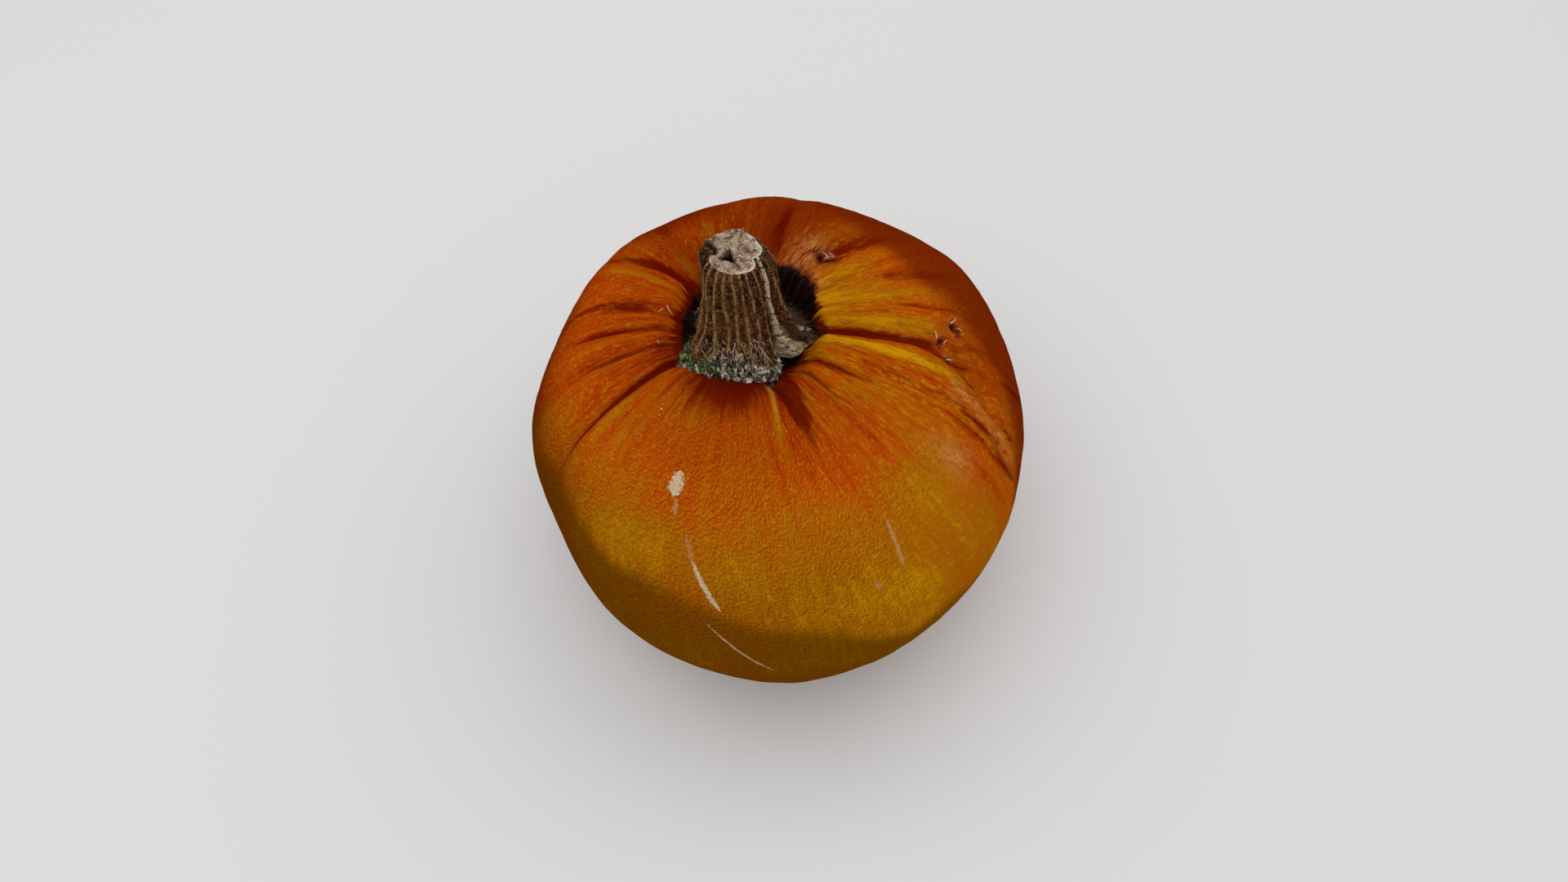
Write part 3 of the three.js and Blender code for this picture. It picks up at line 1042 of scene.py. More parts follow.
@dataclass(frozen=True)
class DryStemFinish:
    """Dry woody stem: tan ribs on brown, a cream crest, a pale cut and a crusty mossy foot, with painted
    shade in its furrows, folds, crevices and hollow.
    """

    brown: Colour = linear(104, 64, 26)
    tan: Colour = linear(152, 124, 82)
    # Painted highlight on the raised scales.
    scale_highlight: Colour = linear(150, 96, 44)
    # Dark is the painted shade in the furrows, folds, scales, crevices and between the moss tufts.
    dark: Colour = linear(20, 9, 4)
    # Red-brown, partly the stem's own colour, partly painted shade on its right side.
    rust_and_shade: Colour = linear(82, 26, 10)
    cream: Colour = linear(222, 204, 164)
    chalk: Colour = linear(150, 132, 114)
    rose: Colour = linear(98, 62, 50)
    crust: Colour = linear(214, 204, 182)
    bark: Colour = linear(74, 54, 38)
    moss: Colour = linear(84, 96, 42)
    # Painted shade that fills the hollow in the cut.
    hollow_shade: Colour = (0.001, 0.001, 0.001, 1.0)

    def build(self) -> bpy.types.Material:
        """Make the material.

        Returns:
            The finished material.
        """
        graph = Graph("dry_stem")
        shared = StemPatterns(graph)
        colour = self.cut_face(graph, shared, self.foot(graph, shared, self.wood(graph, shared)))
        normal = graph.bump(shared.fibre, 0.4, 0.7)
        normal = graph.bump(shared.mottle, 0.5, 0.6, normal)
        normal = graph.bump(shared.scales, 0.4, 0.8, normal)
        normal = graph.bump(shared.speck, 0.25, 0.6, normal)
        graph.settings(specular_ior_level=0.15)
        return graph.finish(colour, graph.math("MULTIPLY_ADD", shared.mottle, 0.2, 0.72), normal)

    def wood(self, graph: Graph, shared: StemPatterns) -> Socket:
        """Colour the brown wood, its tan ribs and cream crest, with painted shade in the furrows and folds
        and on the scales, painted highlights on the scales, and a red-brown right side that is partly
        painted shade.

        Args:
            graph: the material's nodes.
            shared: the patterns that the steps share.

        Returns:
            The colour's output.
        """
        crest = graph.vary(graph.attribute("rib"), shared.fibre, 1.6, -0.8)
        crest = graph.vary(crest, shared.mottle, 1.0, -0.5)
        colour = graph.mix(graph.span(crest, 0.1, 0.9), self.brown, self.tan)
        # Painted shade in the furrows between the ribs.
        colour = graph.tint(graph.span(crest, -0.25, -1.1), 0.95, colour, self.dark)
        # Red-brown in the furrows of the right side, partly the stem's own colour, partly painted shade.
        rust_and_shade = graph.math("MULTIPLY", graph.attribute("rust_and_shade"), graph.span(crest, 0.9, -0.1))
        rust_and_shade_tone = graph.mix(graph.span(shared.fibre, 0.56, 0.4), self.rust_and_shade, self.dark)
        colour = graph.mix(rust_and_shade, colour, rust_and_shade_tone)
        # Painted shade in the folds.
        fold = graph.vary(graph.attribute("fold"), shared.fibre, 0.8, -0.4)
        colour = graph.mix(graph.span(fold, 0.25, 0.9), colour, self.dark)
        # Painted shade on the low scales and painted highlights on the high ones.
        colour = graph.tint(graph.span(shared.scales, 0.5, 0.4), 0.85, colour, self.dark)
        colour = graph.tint(graph.span(shared.scales, 0.54, 0.62), 0.7, colour, self.scale_highlight)
        cream = graph.vary(graph.attribute("cream"), shared.mottle, 0.8, -0.45)
        # Painted shade between the crest's lumps, and its cream on their tops.
        chalky = graph.vary(graph.attribute("lump"), shared.scales, 2.0, -0.9)
        chalky = graph.mix(graph.span(chalky, -0.35, 0.25), self.bark, self.cream)
        return graph.mix(graph.span(cream, 0.2, 0.7), colour, chalky)

    def foot(self, graph: Graph, shared: StemPatterns, colour: Socket) -> Socket:
        """Colour the crust and the moss of the foot, with painted shade between the lumps and the tufts.

        Args:
            graph: the material's nodes.
            shared: the patterns that the steps share.
            colour: the colour so far.

        Returns:
            The colour's output.
        """
        crust = graph.vary(graph.attribute("crust"), shared.mottle, 1.2, -0.6)
        lump = graph.vary(graph.attribute("lump"), shared.speck, 1.6, -0.8)
        # Painted shade in the crevices between the crust's lumps.
        lumps = graph.mix(graph.span(lump, -0.35, 0.25), self.dark, self.bark)
        lumps = graph.mix(graph.span(lump, 0.15, 0.85), lumps, self.crust)
        colour = graph.mix(graph.span(crust, 0.3, 0.7), colour, lumps)
        moss = graph.vary(graph.attribute("moss"), shared.mottle, 1.4, -0.75)
        # Painted shade between the moss tufts.
        green = graph.mix(graph.span(lump, -0.2, 0.5), self.dark, self.moss)
        return graph.tint(graph.span(moss, 0.2, 0.6), 0.85, colour, green)

    def cut_face(self, graph: Graph, shared: StemPatterns, colour: Socket) -> Socket:
        """Colour the pale cut and its lighter rim, and fill the hollow with painted shade.

        Args:
            graph: the material's nodes.
            shared: the patterns that the steps share.
            colour: the colour so far.

        Returns:
            The colour's output.
        """
        pith = graph.mix(graph.span(shared.mottle, 0.4, 0.58), self.rose, self.chalk)
        pith = graph.tint(graph.span(shared.speck, 0.5, 0.7), 0.6, pith, self.cream)
        rim = graph.vary(graph.attribute("rim"), shared.mottle, 1.6, -0.9)
        pith = graph.mix(graph.span(rim, 0.15, 0.9), pith, graph.mix(0.6, self.chalk, self.crust))
        colour = graph.mix(graph.attribute("cut"), colour, pith)
        # Painted shade fills the hollow in the cut.
        return graph.mix(graph.attribute("hollow"), colour, self.hollow_shade)


@dataclass(frozen=True)
class ThreadFinish:
    """Dry threads, crumbs or shreds, each of a shade of its own between two colours."""

    name: str
    first: Colour
    second: Colour
    roughness: float = 0.8

    def build(self) -> bpy.types.Material:
        """Make the material.

        Returns:
            The finished material.
        """
        graph = Graph(self.name)
        place = graph.coordinates(Pattern.OBJECT, (1, 1, 1))
        shade = graph.vary(graph.attribute("shade"), graph.noise(place, 900, 3), 0.6, -0.3)
        colour = graph.mix(graph.span(shade, 0.0, 1.0), self.first, self.second)
        graph.settings(specular_ior_level=0.2)
        return graph.finish(colour, self.roughness, graph.bump(graph.noise(place, 2500, 2), 0.05, 0.5))


@dataclass(frozen=True)
class FloorFinish:
    """Plain pale floor."""

    tone: Colour = (0.74, 0.74, 0.74, 1.0)
    cloud: Colour = (0.7363, 0.7363, 0.7363, 1.0)

    def build(self) -> bpy.types.Material:
        """Make the material.

        Returns:
            The finished material.
        """
        graph = Graph("pale_floor")
        place = graph.coordinates(Pattern.OBJECT, (1, 1, 1))
        colour = graph.mix(graph.noise(place, 3, 2), self.tone, self.cloud)
        graph.settings(specular_ior_level=0.07)
        return graph.finish(colour, 0.9)


# ---- Meshes --------------------------------------------------------------------------------


# How often the coarse sphere that a large piece starts from is subdivided.
SPHERE_LEVELS = 2


def sphere_start(name: str, segments: int, rings: int) -> tuple[bpy.types.Object, np.ndarray, np.ndarray]:
    """Add a sphere and read the angles of its vertices.

    Args:
        name: the new object's name.
        segments: columns round it.
        rings: rows down it.

    Returns:
        The object, the share of the way down of each vertex, and its azimuth.
    """
    coarser = 2**SPHERE_LEVELS
    bpy.ops.object.select_all(action="DESELECT")
    bpy.ops.mesh.primitive_uv_sphere_add(
        segments=segments // coarser, ring_count=rings // coarser, radius=1.0
    )
    piece = bpy.context.object
    piece.name = piece.data.name = name
    finer = piece.modifiers.new("finer", "SUBSURF")
    finer.subdivision_type = "SIMPLE"
    finer.levels = finer.render_levels = SPHERE_LEVELS
    bpy.ops.object.modifier_apply(modifier=finer.name)
    flat = np.empty(len(piece.data.vertices) * 3)
    piece.data.vertices.foreach_get("co", flat)
    x, y, z = flat.reshape(-1, 3).T
    share = np.degrees(np.arccos(np.clip(z, -1, 1))) / 180
    return piece, share, np.degrees(np.arctan2(y, x))


def move_vertices(piece: bpy.types.Object, points: np.ndarray) -> None:
    """Put a piece's vertices in their places and smooth its shading.

    Args:
        piece: the object.
        points: one point for each vertex, in millimetres.
    """
    piece.data.vertices.foreach_set("co", (points * METRES).ravel())
    piece.data.update()
    piece.data.shade_smooth()


def store(piece: bpy.types.Object, name: str, values: np.ndarray) -> None:
    """Keep something for each vertex that a material reads.

    Args:
        piece: the object.
        name: the attribute's name.
        values: a number, or three, for each vertex.
    """
    kind, key = ("FLOAT", "value") if values.ndim == 1 else ("FLOAT_VECTOR", "vector")
    layer = piece.data.attributes.new(name, kind, "POINT")
    layer.data.foreach_set(key, np.ascontiguousarray(values, dtype=np.float32).ravel())


def dress(
    piece: bpy.types.Object, material: bpy.types.Material, slot: Slot, *nodes: str
) -> bpy.types.Object:
    """Give a piece its material and body, hide the nodes it stands for, and report it.

    Args:
        piece: the object.
        material: its material.
        slot: not used.
        nodes: the nodes it stands for, if there are any.

    Returns:
        The object.
    """
    piece.data.materials.clear()
    piece.data.materials.append(material)
    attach(piece, "root")
    if nodes:
        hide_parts(*nodes)
    LOG.info("%s: %d faces", piece.name, len(piece.data.polygons))
    return piece


# ---- The fruit -----------------------------------------------------------------------------


def folded(down: np.ndarray, azimuth: np.ndarray) -> np.ndarray:
    """Give how strongly the skin is wrinkled round the scuffed ridge on the right."""
    return hump(-8, 18, azimuth) * hump(66, 22, down)


class SkinMasks:
    """The share of each colour at each vertex of the rind."""

    def __init__(
        self, down: np.ndarray, azimuth: np.ndarray, plain: np.ndarray, pleats: np.ndarray
    ) -> None:
        """Work out what several masks share.

        Args:
            down: angle down from the crown of each vertex.
            azimuth: its azimuth, from -270 to 90.
            plain: its place without fine relief.
            pleats: the height of its pleats.
        """
        self.down, self.azimuth, self.pleats = down, azimuth, pleats
        self.cloud = rough(plain, 1 / 30, 2, 2)
        self.pit_edge = np.interp(azimuth, *np.array(PIT_EDGE).T)
        self.behind = step(38, 64, azimuth) + 1 - step(-244, -214, azimuth)
        self.beyond = azimuth - 22 + 1.07 * (down - 42)
        self.right_side = (1 - step(80, 112, down)) * (1 - step(40, 86, azimuth))
        self.left_side = step(-240, -185, azimuth)
        self.nicked = [nick.away(down, azimuth) for nick in NICKS]
        self.tones = {tone: np.zeros(down.shape) for tone in Tone}
        for band in BANDS:
            self.tones[band.tone] += band.share(down, azimuth)

    def ochre_and_highlight(self) -> np.ndarray:
        """Mark the yellow parts low on the front, and along the glowing streaks and the pleats' crests,
        which are partly the skin's own yellow and partly painted highlight.

        Returns:
            A number for each vertex.
        """
        front = step(-180, -150, self.azimuth) * (1 - step(-56, -18, self.azimuth))
        ochre_and_highlight = 0.2 + 0.65 * front * step(34, 58, self.down) + 0.3 * self.cloud + 0.5 * self.pleats
        ochre_and_highlight += self.tones[Tone.GLOW]
        ochre_and_highlight -= 0.35 * hump(-198, 40, self.azimuth) - 0.12 * hump(-12, 40, self.azimuth)
        return ochre_and_highlight

    def flush(self) -> np.ndarray:
        """Mark the red flush of the shoulders, the left side and the back.

        Returns:
            A number for each vertex.
        """
        down, azimuth = self.down, self.azimuth
        flush = 0.12 - 0.25 * self.ochre_and_highlight() + 0.4 * self.behind * hump(52, 22, down) - 0.6 * self.pleats
        flush += 0.4 * hump(-92, 34, azimuth) * step(16, 22, down) * (1 - step(32, 50, down))
        flush += (0.25 + 0.25 * step(26, 56, down)) * hump(-195, 45, azimuth)
        return flush + self.tones[Tone.FLUSH]

    def crease_shade(self) -> np.ndarray:
        """Mark the painted shade, in dark red, of grooves, creases, the pit's border, the place under the
        stem's foot and the nicks.

        Returns:
            A number for each vertex.
        """
        down, azimuth, pleats = self.down, self.azimuth, self.pleats
        # Painted shade grows with the grooves' depth and eases on the pleats' crests.
        grooved = np.clip(RIND.groove_depth(down, azimuth) / 4.6, 0, 1) ** 2.5
        crease_shade = 0.25 * grooved * (1 - step(40, 66, down)) - 0.4 * pleats
        # SHADE bands add painted shade along the grooves; GLOW bands take some away.
        crease_shade += self.tones[Tone.SHADE] - 0.5 * self.tones[Tone.GLOW]
        # Painted shade along the border of the pit.
        crease_shade += 1 - step(self.pit_edge - 0.5, self.pit_edge + 2.5, down + pleats)
        # Painted shade under the stem's foot.
        crease_shade += 0.95 * hump(-98, 42, azimuth) * (1 - step(14, 28, down + 2 * pleats))
        # Painted shade in the creases of the folds on the right.
        strips = np.stack([azimuth / 3, down / 22, 0 * down], -1)
        crease_shade += 1.1 * folded(down, azimuth) * rough(strips, 1, 31, 2)
        # Painted shade in the nicks.
        return crease_shade + 0.9 * sum(hump(0, 1.2, away) for away in self.nicked)

    def pit(self) -> np.ndarray:
        """Mark the painted shade of the pit round the stem and of the holes of the nicks."""
        pit = 1 - step(self.pit_edge - 1.4, self.pit_edge + 0.8, self.down + 0.4 * self.pleats)
        return pit + sum(hump(0, 0.7, away) for away in self.nicked)

    def red_brown_shade(self) -> np.ndarray:
        """Mark the brown-red painted shade beyond a slanting line on the right and behind.

        Returns:
            A number for each vertex.
        """
        down, azimuth = self.down, self.azimuth
        red_brown_shade = step(-9, 9, self.beyond + 5 * self.cloud) * step(-34, -16, azimuth)
        red_brown_shade = red_brown_shade * step(35, 46, down) * self.right_side
        red_brown_shade += 0.85 * hump(-244, 22, azimuth) * hump(54, 13, down)
        red_brown_shade += 0.7 * hump(76, 10, azimuth) * step(14, 22, down) * (1 - step(34, 60, down))
        return red_brown_shade

    def far_side_shade(self) -> np.ndarray:
        """Mark the painted shade over the far sides: behind, low on the left and far right.

        Returns:
            A number for each vertex.
        """
        down, azimuth, behind = self.down, self.azimuth, self.behind
        spared = 0.5 * hump(-250, 12, azimuth) * hump(32, 9, down)
        far_side_shade = 0.85 * behind * (1 - spared) * (1 - step(52, 92, down))
        far_side_shade += step(40, 66, down) * (1 - step(-180, -110, azimuth)) * (1 - behind) * self.left_side
        far_side_shade += 0.4 * step(38, 72, down) * (1 - step(-84, -46, azimuth)) * self.left_side
        right = step(-34, -6, self.beyond) * step(-10, -2, azimuth) * step(40, 50, down)
        far_side_shade += 0.5 * right * self.right_side
        far_side_shade += 0.2 * (1 - step(28, 40, down)) * (1 - step(-50, -20, azimuth))
        return far_side_shade

    def lower_shade(self) -> np.ndarray:
        """Mark the painted shade, in olive brown, low on the front and the left.

        Returns:
            A number from 0 to 1 for each vertex.
        """
        down, azimuth = self.down, self.azimuth
        border = 60 + 11 * step(-145, -80, azimuth) + 17 * step(-82, -56, azimuth)
        lower_shade = step(-3.5, 4.5, down - border - 3 * self.cloud) * step(-235, -165, azimuth)
        return lower_shade * (1 - step(-60, -5, azimuth)) * (1 - 0.6 * step(105, 150, down))

    def pleated(self) -> np.ndarray:
        """Mark where long creases take the place of small wrinkles.

        Returns:
            A number for each vertex.
        """
        shoulders = (1 - step(30, 66, self.down)) * (1 - 0.85 * hump(-100, 45, self.azimuth))
        shoulders = shoulders * (1 - 0.3 * hump(-200, 40, self.azimuth))
        return shoulders + folded(self.down, self.azimuth)

    def scuff_and_highlight(self) -> np.ndarray:
        """Mark the pale rubbed skin of ridges, the pit's lip and the borders of the nicks, and a painted
        highlight, the pale hazy patch low on the right front.

        Returns:
            A number for each vertex.
        """
        down, azimuth = self.down, self.azimuth
        # The second term is a painted highlight, the pale hazy patch low on the right front.
        scuff_and_highlight = 0.7 * self.tones[Tone.SCUFF] + 1.1 * hump(-28, 4, azimuth) * hump(55, 5.5, down)
        scuff_and_highlight += 0.9 * hump(56.5, 7, azimuth) * (1 - step(25, 35, down)) * step(13, 17, down)
        scuff_and_highlight += 0.7 * hump(38, 10, azimuth) * hump(self.pit_edge + 1.5, 1.4, down)
        scuff_and_highlight += 0.45 * sum(hump(1.4, 0.35, away) for away in self.nicked)
        return scuff_and_highlight * (1 - self.pit())

    def every(self) -> dict[str, np.ndarray]:
        """Give all masks of the rind.

        Returns:
            The mask for each attribute's name.
        """
        down, azimuth = self.down, self.azimuth
        above = 1 - step(96, 140, down)
        lower_right = step(-64, -38, azimuth) * (1 - step(-6, 30, azimuth)) * step(50, 62, down)
        return {
            "ochre_and_highlight": np.clip(self.ochre_and_highlight(), -0.2, 1.6),
            "flush": np.clip(self.flush(), 0, 1),
            "crease_shade": np.clip(self.crease_shade(), 0, 1.6),
            "lower_shade": self.lower_shade(),
            "red_brown_shade": np.clip(self.red_brown_shade(), 0, 1) * above,
            "far_side_shade": np.clip(self.far_side_shade(), 0, 1) * above,
            "pit": np.clip(self.pit(), 0, 1),
            "pleated": np.clip(self.pleated(), 0, 1),
            "striped": 0.8 * lower_right,
            "scuff_and_highlight": np.clip(self.scuff_and_highlight(), 0, 1.2),
            "belly": hump(180, 34, down + 10 * self.cloud),
            "navel": step(174.2, 175.6, down),
        }


@dataclass
class Fruit:
    """The ribbed fruit, with its mottled skin."""

    segments: int = 400
    rings: int = 232
    seam: float = 90.0
    pleat_height: float = 1.1
    crinkle_height: float = 0.13
    material: bpy.types.Material = field(default_factory=lambda: RindFinish().build())

    def build(self) -> bpy.types.Object:
        """Make and dress the fruit.

        Returns:
            The rind.
        """
        piece, share, azimuth = sphere_start("rind", self.segments, self.rings)
        down = np.interp(share, [0, 0.02, 0.5, 0.97, 1], [0.02, 6, 62, 171, 179.98])
        azimuth = np.where(azimuth > self.seam, azimuth - 360, azimuth)
        plain = RIND.surface(down, azimuth, np.zeros(down.shape))
        pleats = self.pleats(down, azimuth)
        relief = self.relief(down, azimuth, plain) + self.pleat_height * pleats
        move_vertices(piece, RIND.surface(down, azimuth, relief))
        store(piece, Pattern.MERIDIAN.value, ring(azimuth, np.radians(down)))
        store(piece, "down", down)
        store(piece, "azimuth", azimuth)
        for name, values in SkinMasks(down, azimuth, plain, pleats).every().items():
            store(piece, name, values)
        return dress(piece, self.material, Slot.SKIN, "fruit")

    def pleats(self, down: np.ndarray, azimuth: np.ndarray) -> np.ndarray:
        """Give the fine pleats that run into the pit.

        Args:
            down: angles down from the crown.
            azimuth: azimuths.

        Returns:
            About -1 in a crease and 1 on a fold.
        """
        place = ring(azimuth, 0.1 * np.radians(down))
        sides = 0.35 + 0.65 * (1 - hump(-100, 42, azimuth))
        fade = step(9, 16, down) * (1 - step(26, 62, down)) * sides
        return fade * (0.75 * rough(place, 17, 3, 2) + 0.4 * rough(place, 44, 7))

    def relief(self, down: np.ndarray, azimuth: np.ndarray, plain: np.ndarray) -> np.ndarray:
        """Give the relief of the skin, apart from its pleats.

        Args:
            down: angles down from the crown.
            azimuth: azimuths.
            plain: the place of each vertex without relief.

        Returns:
            The height along the normal, in millimetres.
        """
        relief = 0.5 * rough(plain, 1 / 22, 1) * step(10, 30, down) + 0.18 * rough(plain, 1 / 7, 5)
        relief += SCUFFED_RIDGE.share(down, azimuth) * (0.7 + 0.9 * rough(plain, 1 / 3.2, 9, 2))
        folds = 1 + 2.5 * folded(down, azimuth)
        relief += self.crinkle_height * self.crinkle(down, azimuth) * folds
        ragged = 1 + 0.8 * rough(plain, 1 / 2.5, 4)
        for nick in NICKS:
            relief -= nick.depth * hump(0, 1, nick.away(down, azimuth)) * ragged
        return relief * step(0, 12, 180 - down)

    def crinkle(self, down: np.ndarray, azimuth: np.ndarray) -> np.ndarray:
        """Give the short folds that follow the ribs over the shoulders, from about -1 to 1."""
        place = ring(azimuth, 0.42 * np.radians(down))
        return step(12, 24, down) * (1 - step(60, 84, down)) * rough(place, 34, 21, 2)


# ---- The stem ------------------------------------------------------------------------------


@dataclass
class Stem:
    """The dried stem, with its ribs, folds, cut face and crusty foot.

    The rows of its sphere as far as the cut part make the cut face, and those from there to the
    side's end make the side.
    """

    segments: int = 380
    rings: int = 240
    cut_part: float = 0.24
    side_end: float = 0.96
    crowding: float = 1.08
    rib_gain: float = 1.3
    crest_width: float = 2.6
    notch_depth: float = 2.6
    hollow_at: tuple[float, float] = (-1.6, -2.0)
    hollow_size: float = 3.1
    hollow_depth: float = 9.0
    hollow_turn: float = 20.0
    material: bpy.types.Material = field(default_factory=lambda: DryStemFinish().build())

    def build(self) -> bpy.types.Object:
        """Make and dress the stem.

        Returns:
            The stem.
        """
        piece, share, azimuth = sphere_start("dry_stem", self.segments, self.rings)
        on_cut = share <= self.cut_part
        inward, height = self.rows(share)
        radius = STEM.radius(height, azimuth)
        place = STEM.point(height, azimuth, radius * inward)
        ribs = self.ribs(height, azimuth, place)
        lumps = np.abs(rough(place, 1 / 2.6, 8, 2)) * 2.2 - 0.35 + 0.5 * rough(place, 1 / 1.2, 3)
        crust = self.crust(height, azimuth, place) * ~on_cut
        detail = self.detail(height, azimuth, ribs * (1 - 0.7 * crust), crust * lumps)
        points = STEM.point(height, azimuth, (radius + detail * ~on_cut) * inward)
        points[:, 2] += 0.6 * rough(place, 1 / 2.6, 6, 2) * step(1.0, 0.7, inward) * on_cut
        notch = self.notch(azimuth) * step(0.5, 0.75, inward) * on_cut
        sunk = self.notch(azimuth) * step(0.9, 1.0, height) * ~on_cut
        points[:, 2] -= self.notch_depth * (notch + sunk)
        well = self.well(points) * on_cut
        points[:, 2] -= self.hollow_depth * well
        move_vertices(piece, points)
        masks = self.masks(height, azimuth, inward, crust)
        masks |= {"rib": ribs, "lump": lumps, "hollow": step(0.05, 0.4, well)}
        masks["cut"] = on_cut * (1.0 - step(0.2, 0.6, notch))
        for name, values in masks.items():
            store(piece, name, values)
        return dress(piece, self.material, Slot.STEM, "stem")

    def rows(self, share: np.ndarray) -> tuple[np.ndarray, np.ndarray]:
        """Share the sphere's rows out over the cut, the side and the underside.

        Args:
            share: the share of the way down the sphere.

        Returns:
            How far out to the stem's border each vertex is, and its share of the stem's length.
        """
        below = (1 - share) / (1 - self.side_end)
        inward = np.where(share > self.side_end, below, np.interp(share, [0, self.cut_part], [0, 1]))
        height = np.interp(share, [self.cut_part, self.side_end], [1, 0])
        return inward, 1 - (1 - height) ** self.crowding

    def crust(self, height: np.ndarray, azimuth: np.ndarray, place: np.ndarray) -> np.ndarray:
        """Give how thick the crust of the foot lies, from 0 to 1."""
        ragged = 0.06 * rough(place, 1 / 3, 12) + 0.1 * hump(180, 60, azimuth % 360)
        return 1 - step(0.2, 0.36, height + ragged)

    def detail(
        self, height: np.ndarray, azimuth: np.ndarray, ribs: np.ndarray, lumps: np.ndarray
    ) -> np.ndarray:
        """Give the height of the ribs, the fibres, the lumps and the crest.

        Args:
            height: share of the stem's length.
            azimuth: azimuth.
            ribs: the shape of the ribs, fainter in the crust.
            lumps: the height of the crust's lumps.

        Returns:
            The height over the stem's side, in millimetres.
        """
        detail = STEM.rib_height * self.rib_gain * ribs * step(0.0, 0.03, 1 - height)
        detail += 0.3 * rough(ring(azimuth, 0.35 * height), 30, 2, 2)
        detail += (1.3 - 0.3 * hump(-14, 16, azimuth)) * lumps
        return detail + self.crest(height, azimuth, self.crest_width) - 0.35 * np.exp(-(1 - height) / 0.012)

    def ribs(self, height: np.ndarray, azimuth: np.ndarray, place: np.ndarray) -> np.ndarray:
        """Give the shape of the fine ribs, which are twice as many on the right.

        Args:
            height: share of the stem's length.
            azimuth: azimuth.
            place: the place without detail.

        Returns:
            About -1 in a furrow and 1 on a rib.
        """
        wander = 5 * rough(place * np.array([1, 1, 0.3]), 1 / 7, 4, 2)
        right = hump(18, 24, azimuth)
        turn = np.radians(STEM.ribs * (azimuth + wander))
        wave = (1 - right) * np.cos(turn) + right * np.cos(2 * turn)
        narrow = 2.0 * np.clip(0.5 + 0.5 * wave, 0, 1) ** 2.0 - 1.0
        return narrow * step(0.02, 0.2, height) * (0.85 + 0.5 * rough(place, 1 / 4, 11, 2))

    def crest(self, height: np.ndarray, azimuth: np.ndarray, width: float) -> np.ndarray:
        """Give the sharp pale front edge of the right-hand ridge, of a width in degrees."""
        return hump(0, width, apart(azimuth, -20 + 11 * step(0.0, 0.9, height)))

    def notch(self, azimuth: np.ndarray) -> np.ndarray:
        """Give the broken place in the rim at the back left."""
        return hump(0, 20, apart(azimuth, 172))

    def well(self, points: np.ndarray) -> np.ndarray:
        """Give the three-cornered hollow in the cut.

        Args:
            points: the place of each vertex, in millimetres.

        Returns:
            1 inside it and 0 outside, with a steep wall between.
        """
        x = points[:, 0] - STEM.top[0] - self.hollow_at[0]
        y = points[:, 1] - STEM.top[1] - self.hollow_at[1]
        walls = [math.radians(self.hollow_turn + corner) for corner in (0, 120, 240)]
        reach = np.max([x * math.cos(wall) + y * math.sin(wall) for wall in walls], axis=0)
        return 1 - step(0.44, 0.6, reach / self.hollow_size)

    def masks(
        self, height: np.ndarray, azimuth: np.ndarray, inward: np.ndarray, crust: np.ndarray
    ) -> dict[str, np.ndarray]:
        """Give the shares of each colour over the stem.

        Args:
            height: share of the stem's length.
            azimuth: azimuth.
            inward: 0 in the middle of the cut and 1 at its border.
            crust: the crusty foot.

        Returns:
            A mask for each colour's name.
        """
        low = 1 - step(0.08, 0.34, height)
        # Painted shade in the folds: beside the crest, at the back left and the broken rim, round the back
        # right, on the front face and low on the right.
        fold = 0.85 * hump(0, 6, apart(azimuth, -31 + 14 * height))
        fold += 0.6 * hump(0, 10, apart(azimuth, -172))
        front_face = step(-68, -56, azimuth + 14 * low) * (1 - step(-24, -16, azimuth))
        broken = hump(0, 26, apart(azimuth, 168)) * step(0.6, 0.9, height)
        fold += 0.45 * hump(55, 40, azimuth) + 0.3 * front_face + 0.8 * broken
        bare = 0.8 * hump(-40, 20, azimuth) + 0.6 * hump(-14, 14, azimuth)
        mossy = 0.95 * hump(-134, 18, azimuth) * (1 - step(0.26, 0.34, height))
        mossy += 0.7 * hump(-62, 12, azimuth)
        return {
            # Red-brown on the right side and the front face, partly the stem's own colour, partly painted
            # shade.
            "rust_and_shade": (0.85 * hump(8, 45, azimuth) + front_face) * (1 - 0.6 * crust),
            # Painted shade in the folds.
            "fold": fold + 0.5 * low * hump(4, 12, azimuth),
            "cream": self.crest(height, azimuth - 4 * low**2, 2.1 + 8 * low**2) * (0.9 + 0.6 * low),
            "crust": crust * (0.75 + 0.4 * hump(-95, 60, azimuth)) - bare,
            "moss": crust * mossy,
            "rim": step(0.76, 0.96, inward) * (0.4 + 0.6 * hump(-20, 80, azimuth)),
        }


# ---- Threads, moss and crumbs --------------------------------------------------------------


# The share of its width that a thread keeps from each of its joints to the next.
THREAD_TAPER = (0.86, 0.8, 0.66, 0.3)


def taken_apart() -> Form:
    """Read the form of the object just made, and remove it.

    Returns:
        Its vertices and its faces.
    """
    made = bpy.context.object
    corners = np.array([vertex.co[:] for vertex in made.data.vertices])
    faces = [list(face.vertices) for face in made.data.polygons]
    bpy.data.objects.remove(made)
    return corners, faces


def crumb_form() -> Form:
    """Model the lump of radius 1 that all crumbs are copies of.

    Returns:
        Its vertices and its faces.
    """
    bpy.ops.object.select_all(action="DESELECT")
    bpy.ops.mesh.primitive_uv_sphere_add(segments=7, ring_count=5, radius=1.0)
    return taken_apart()


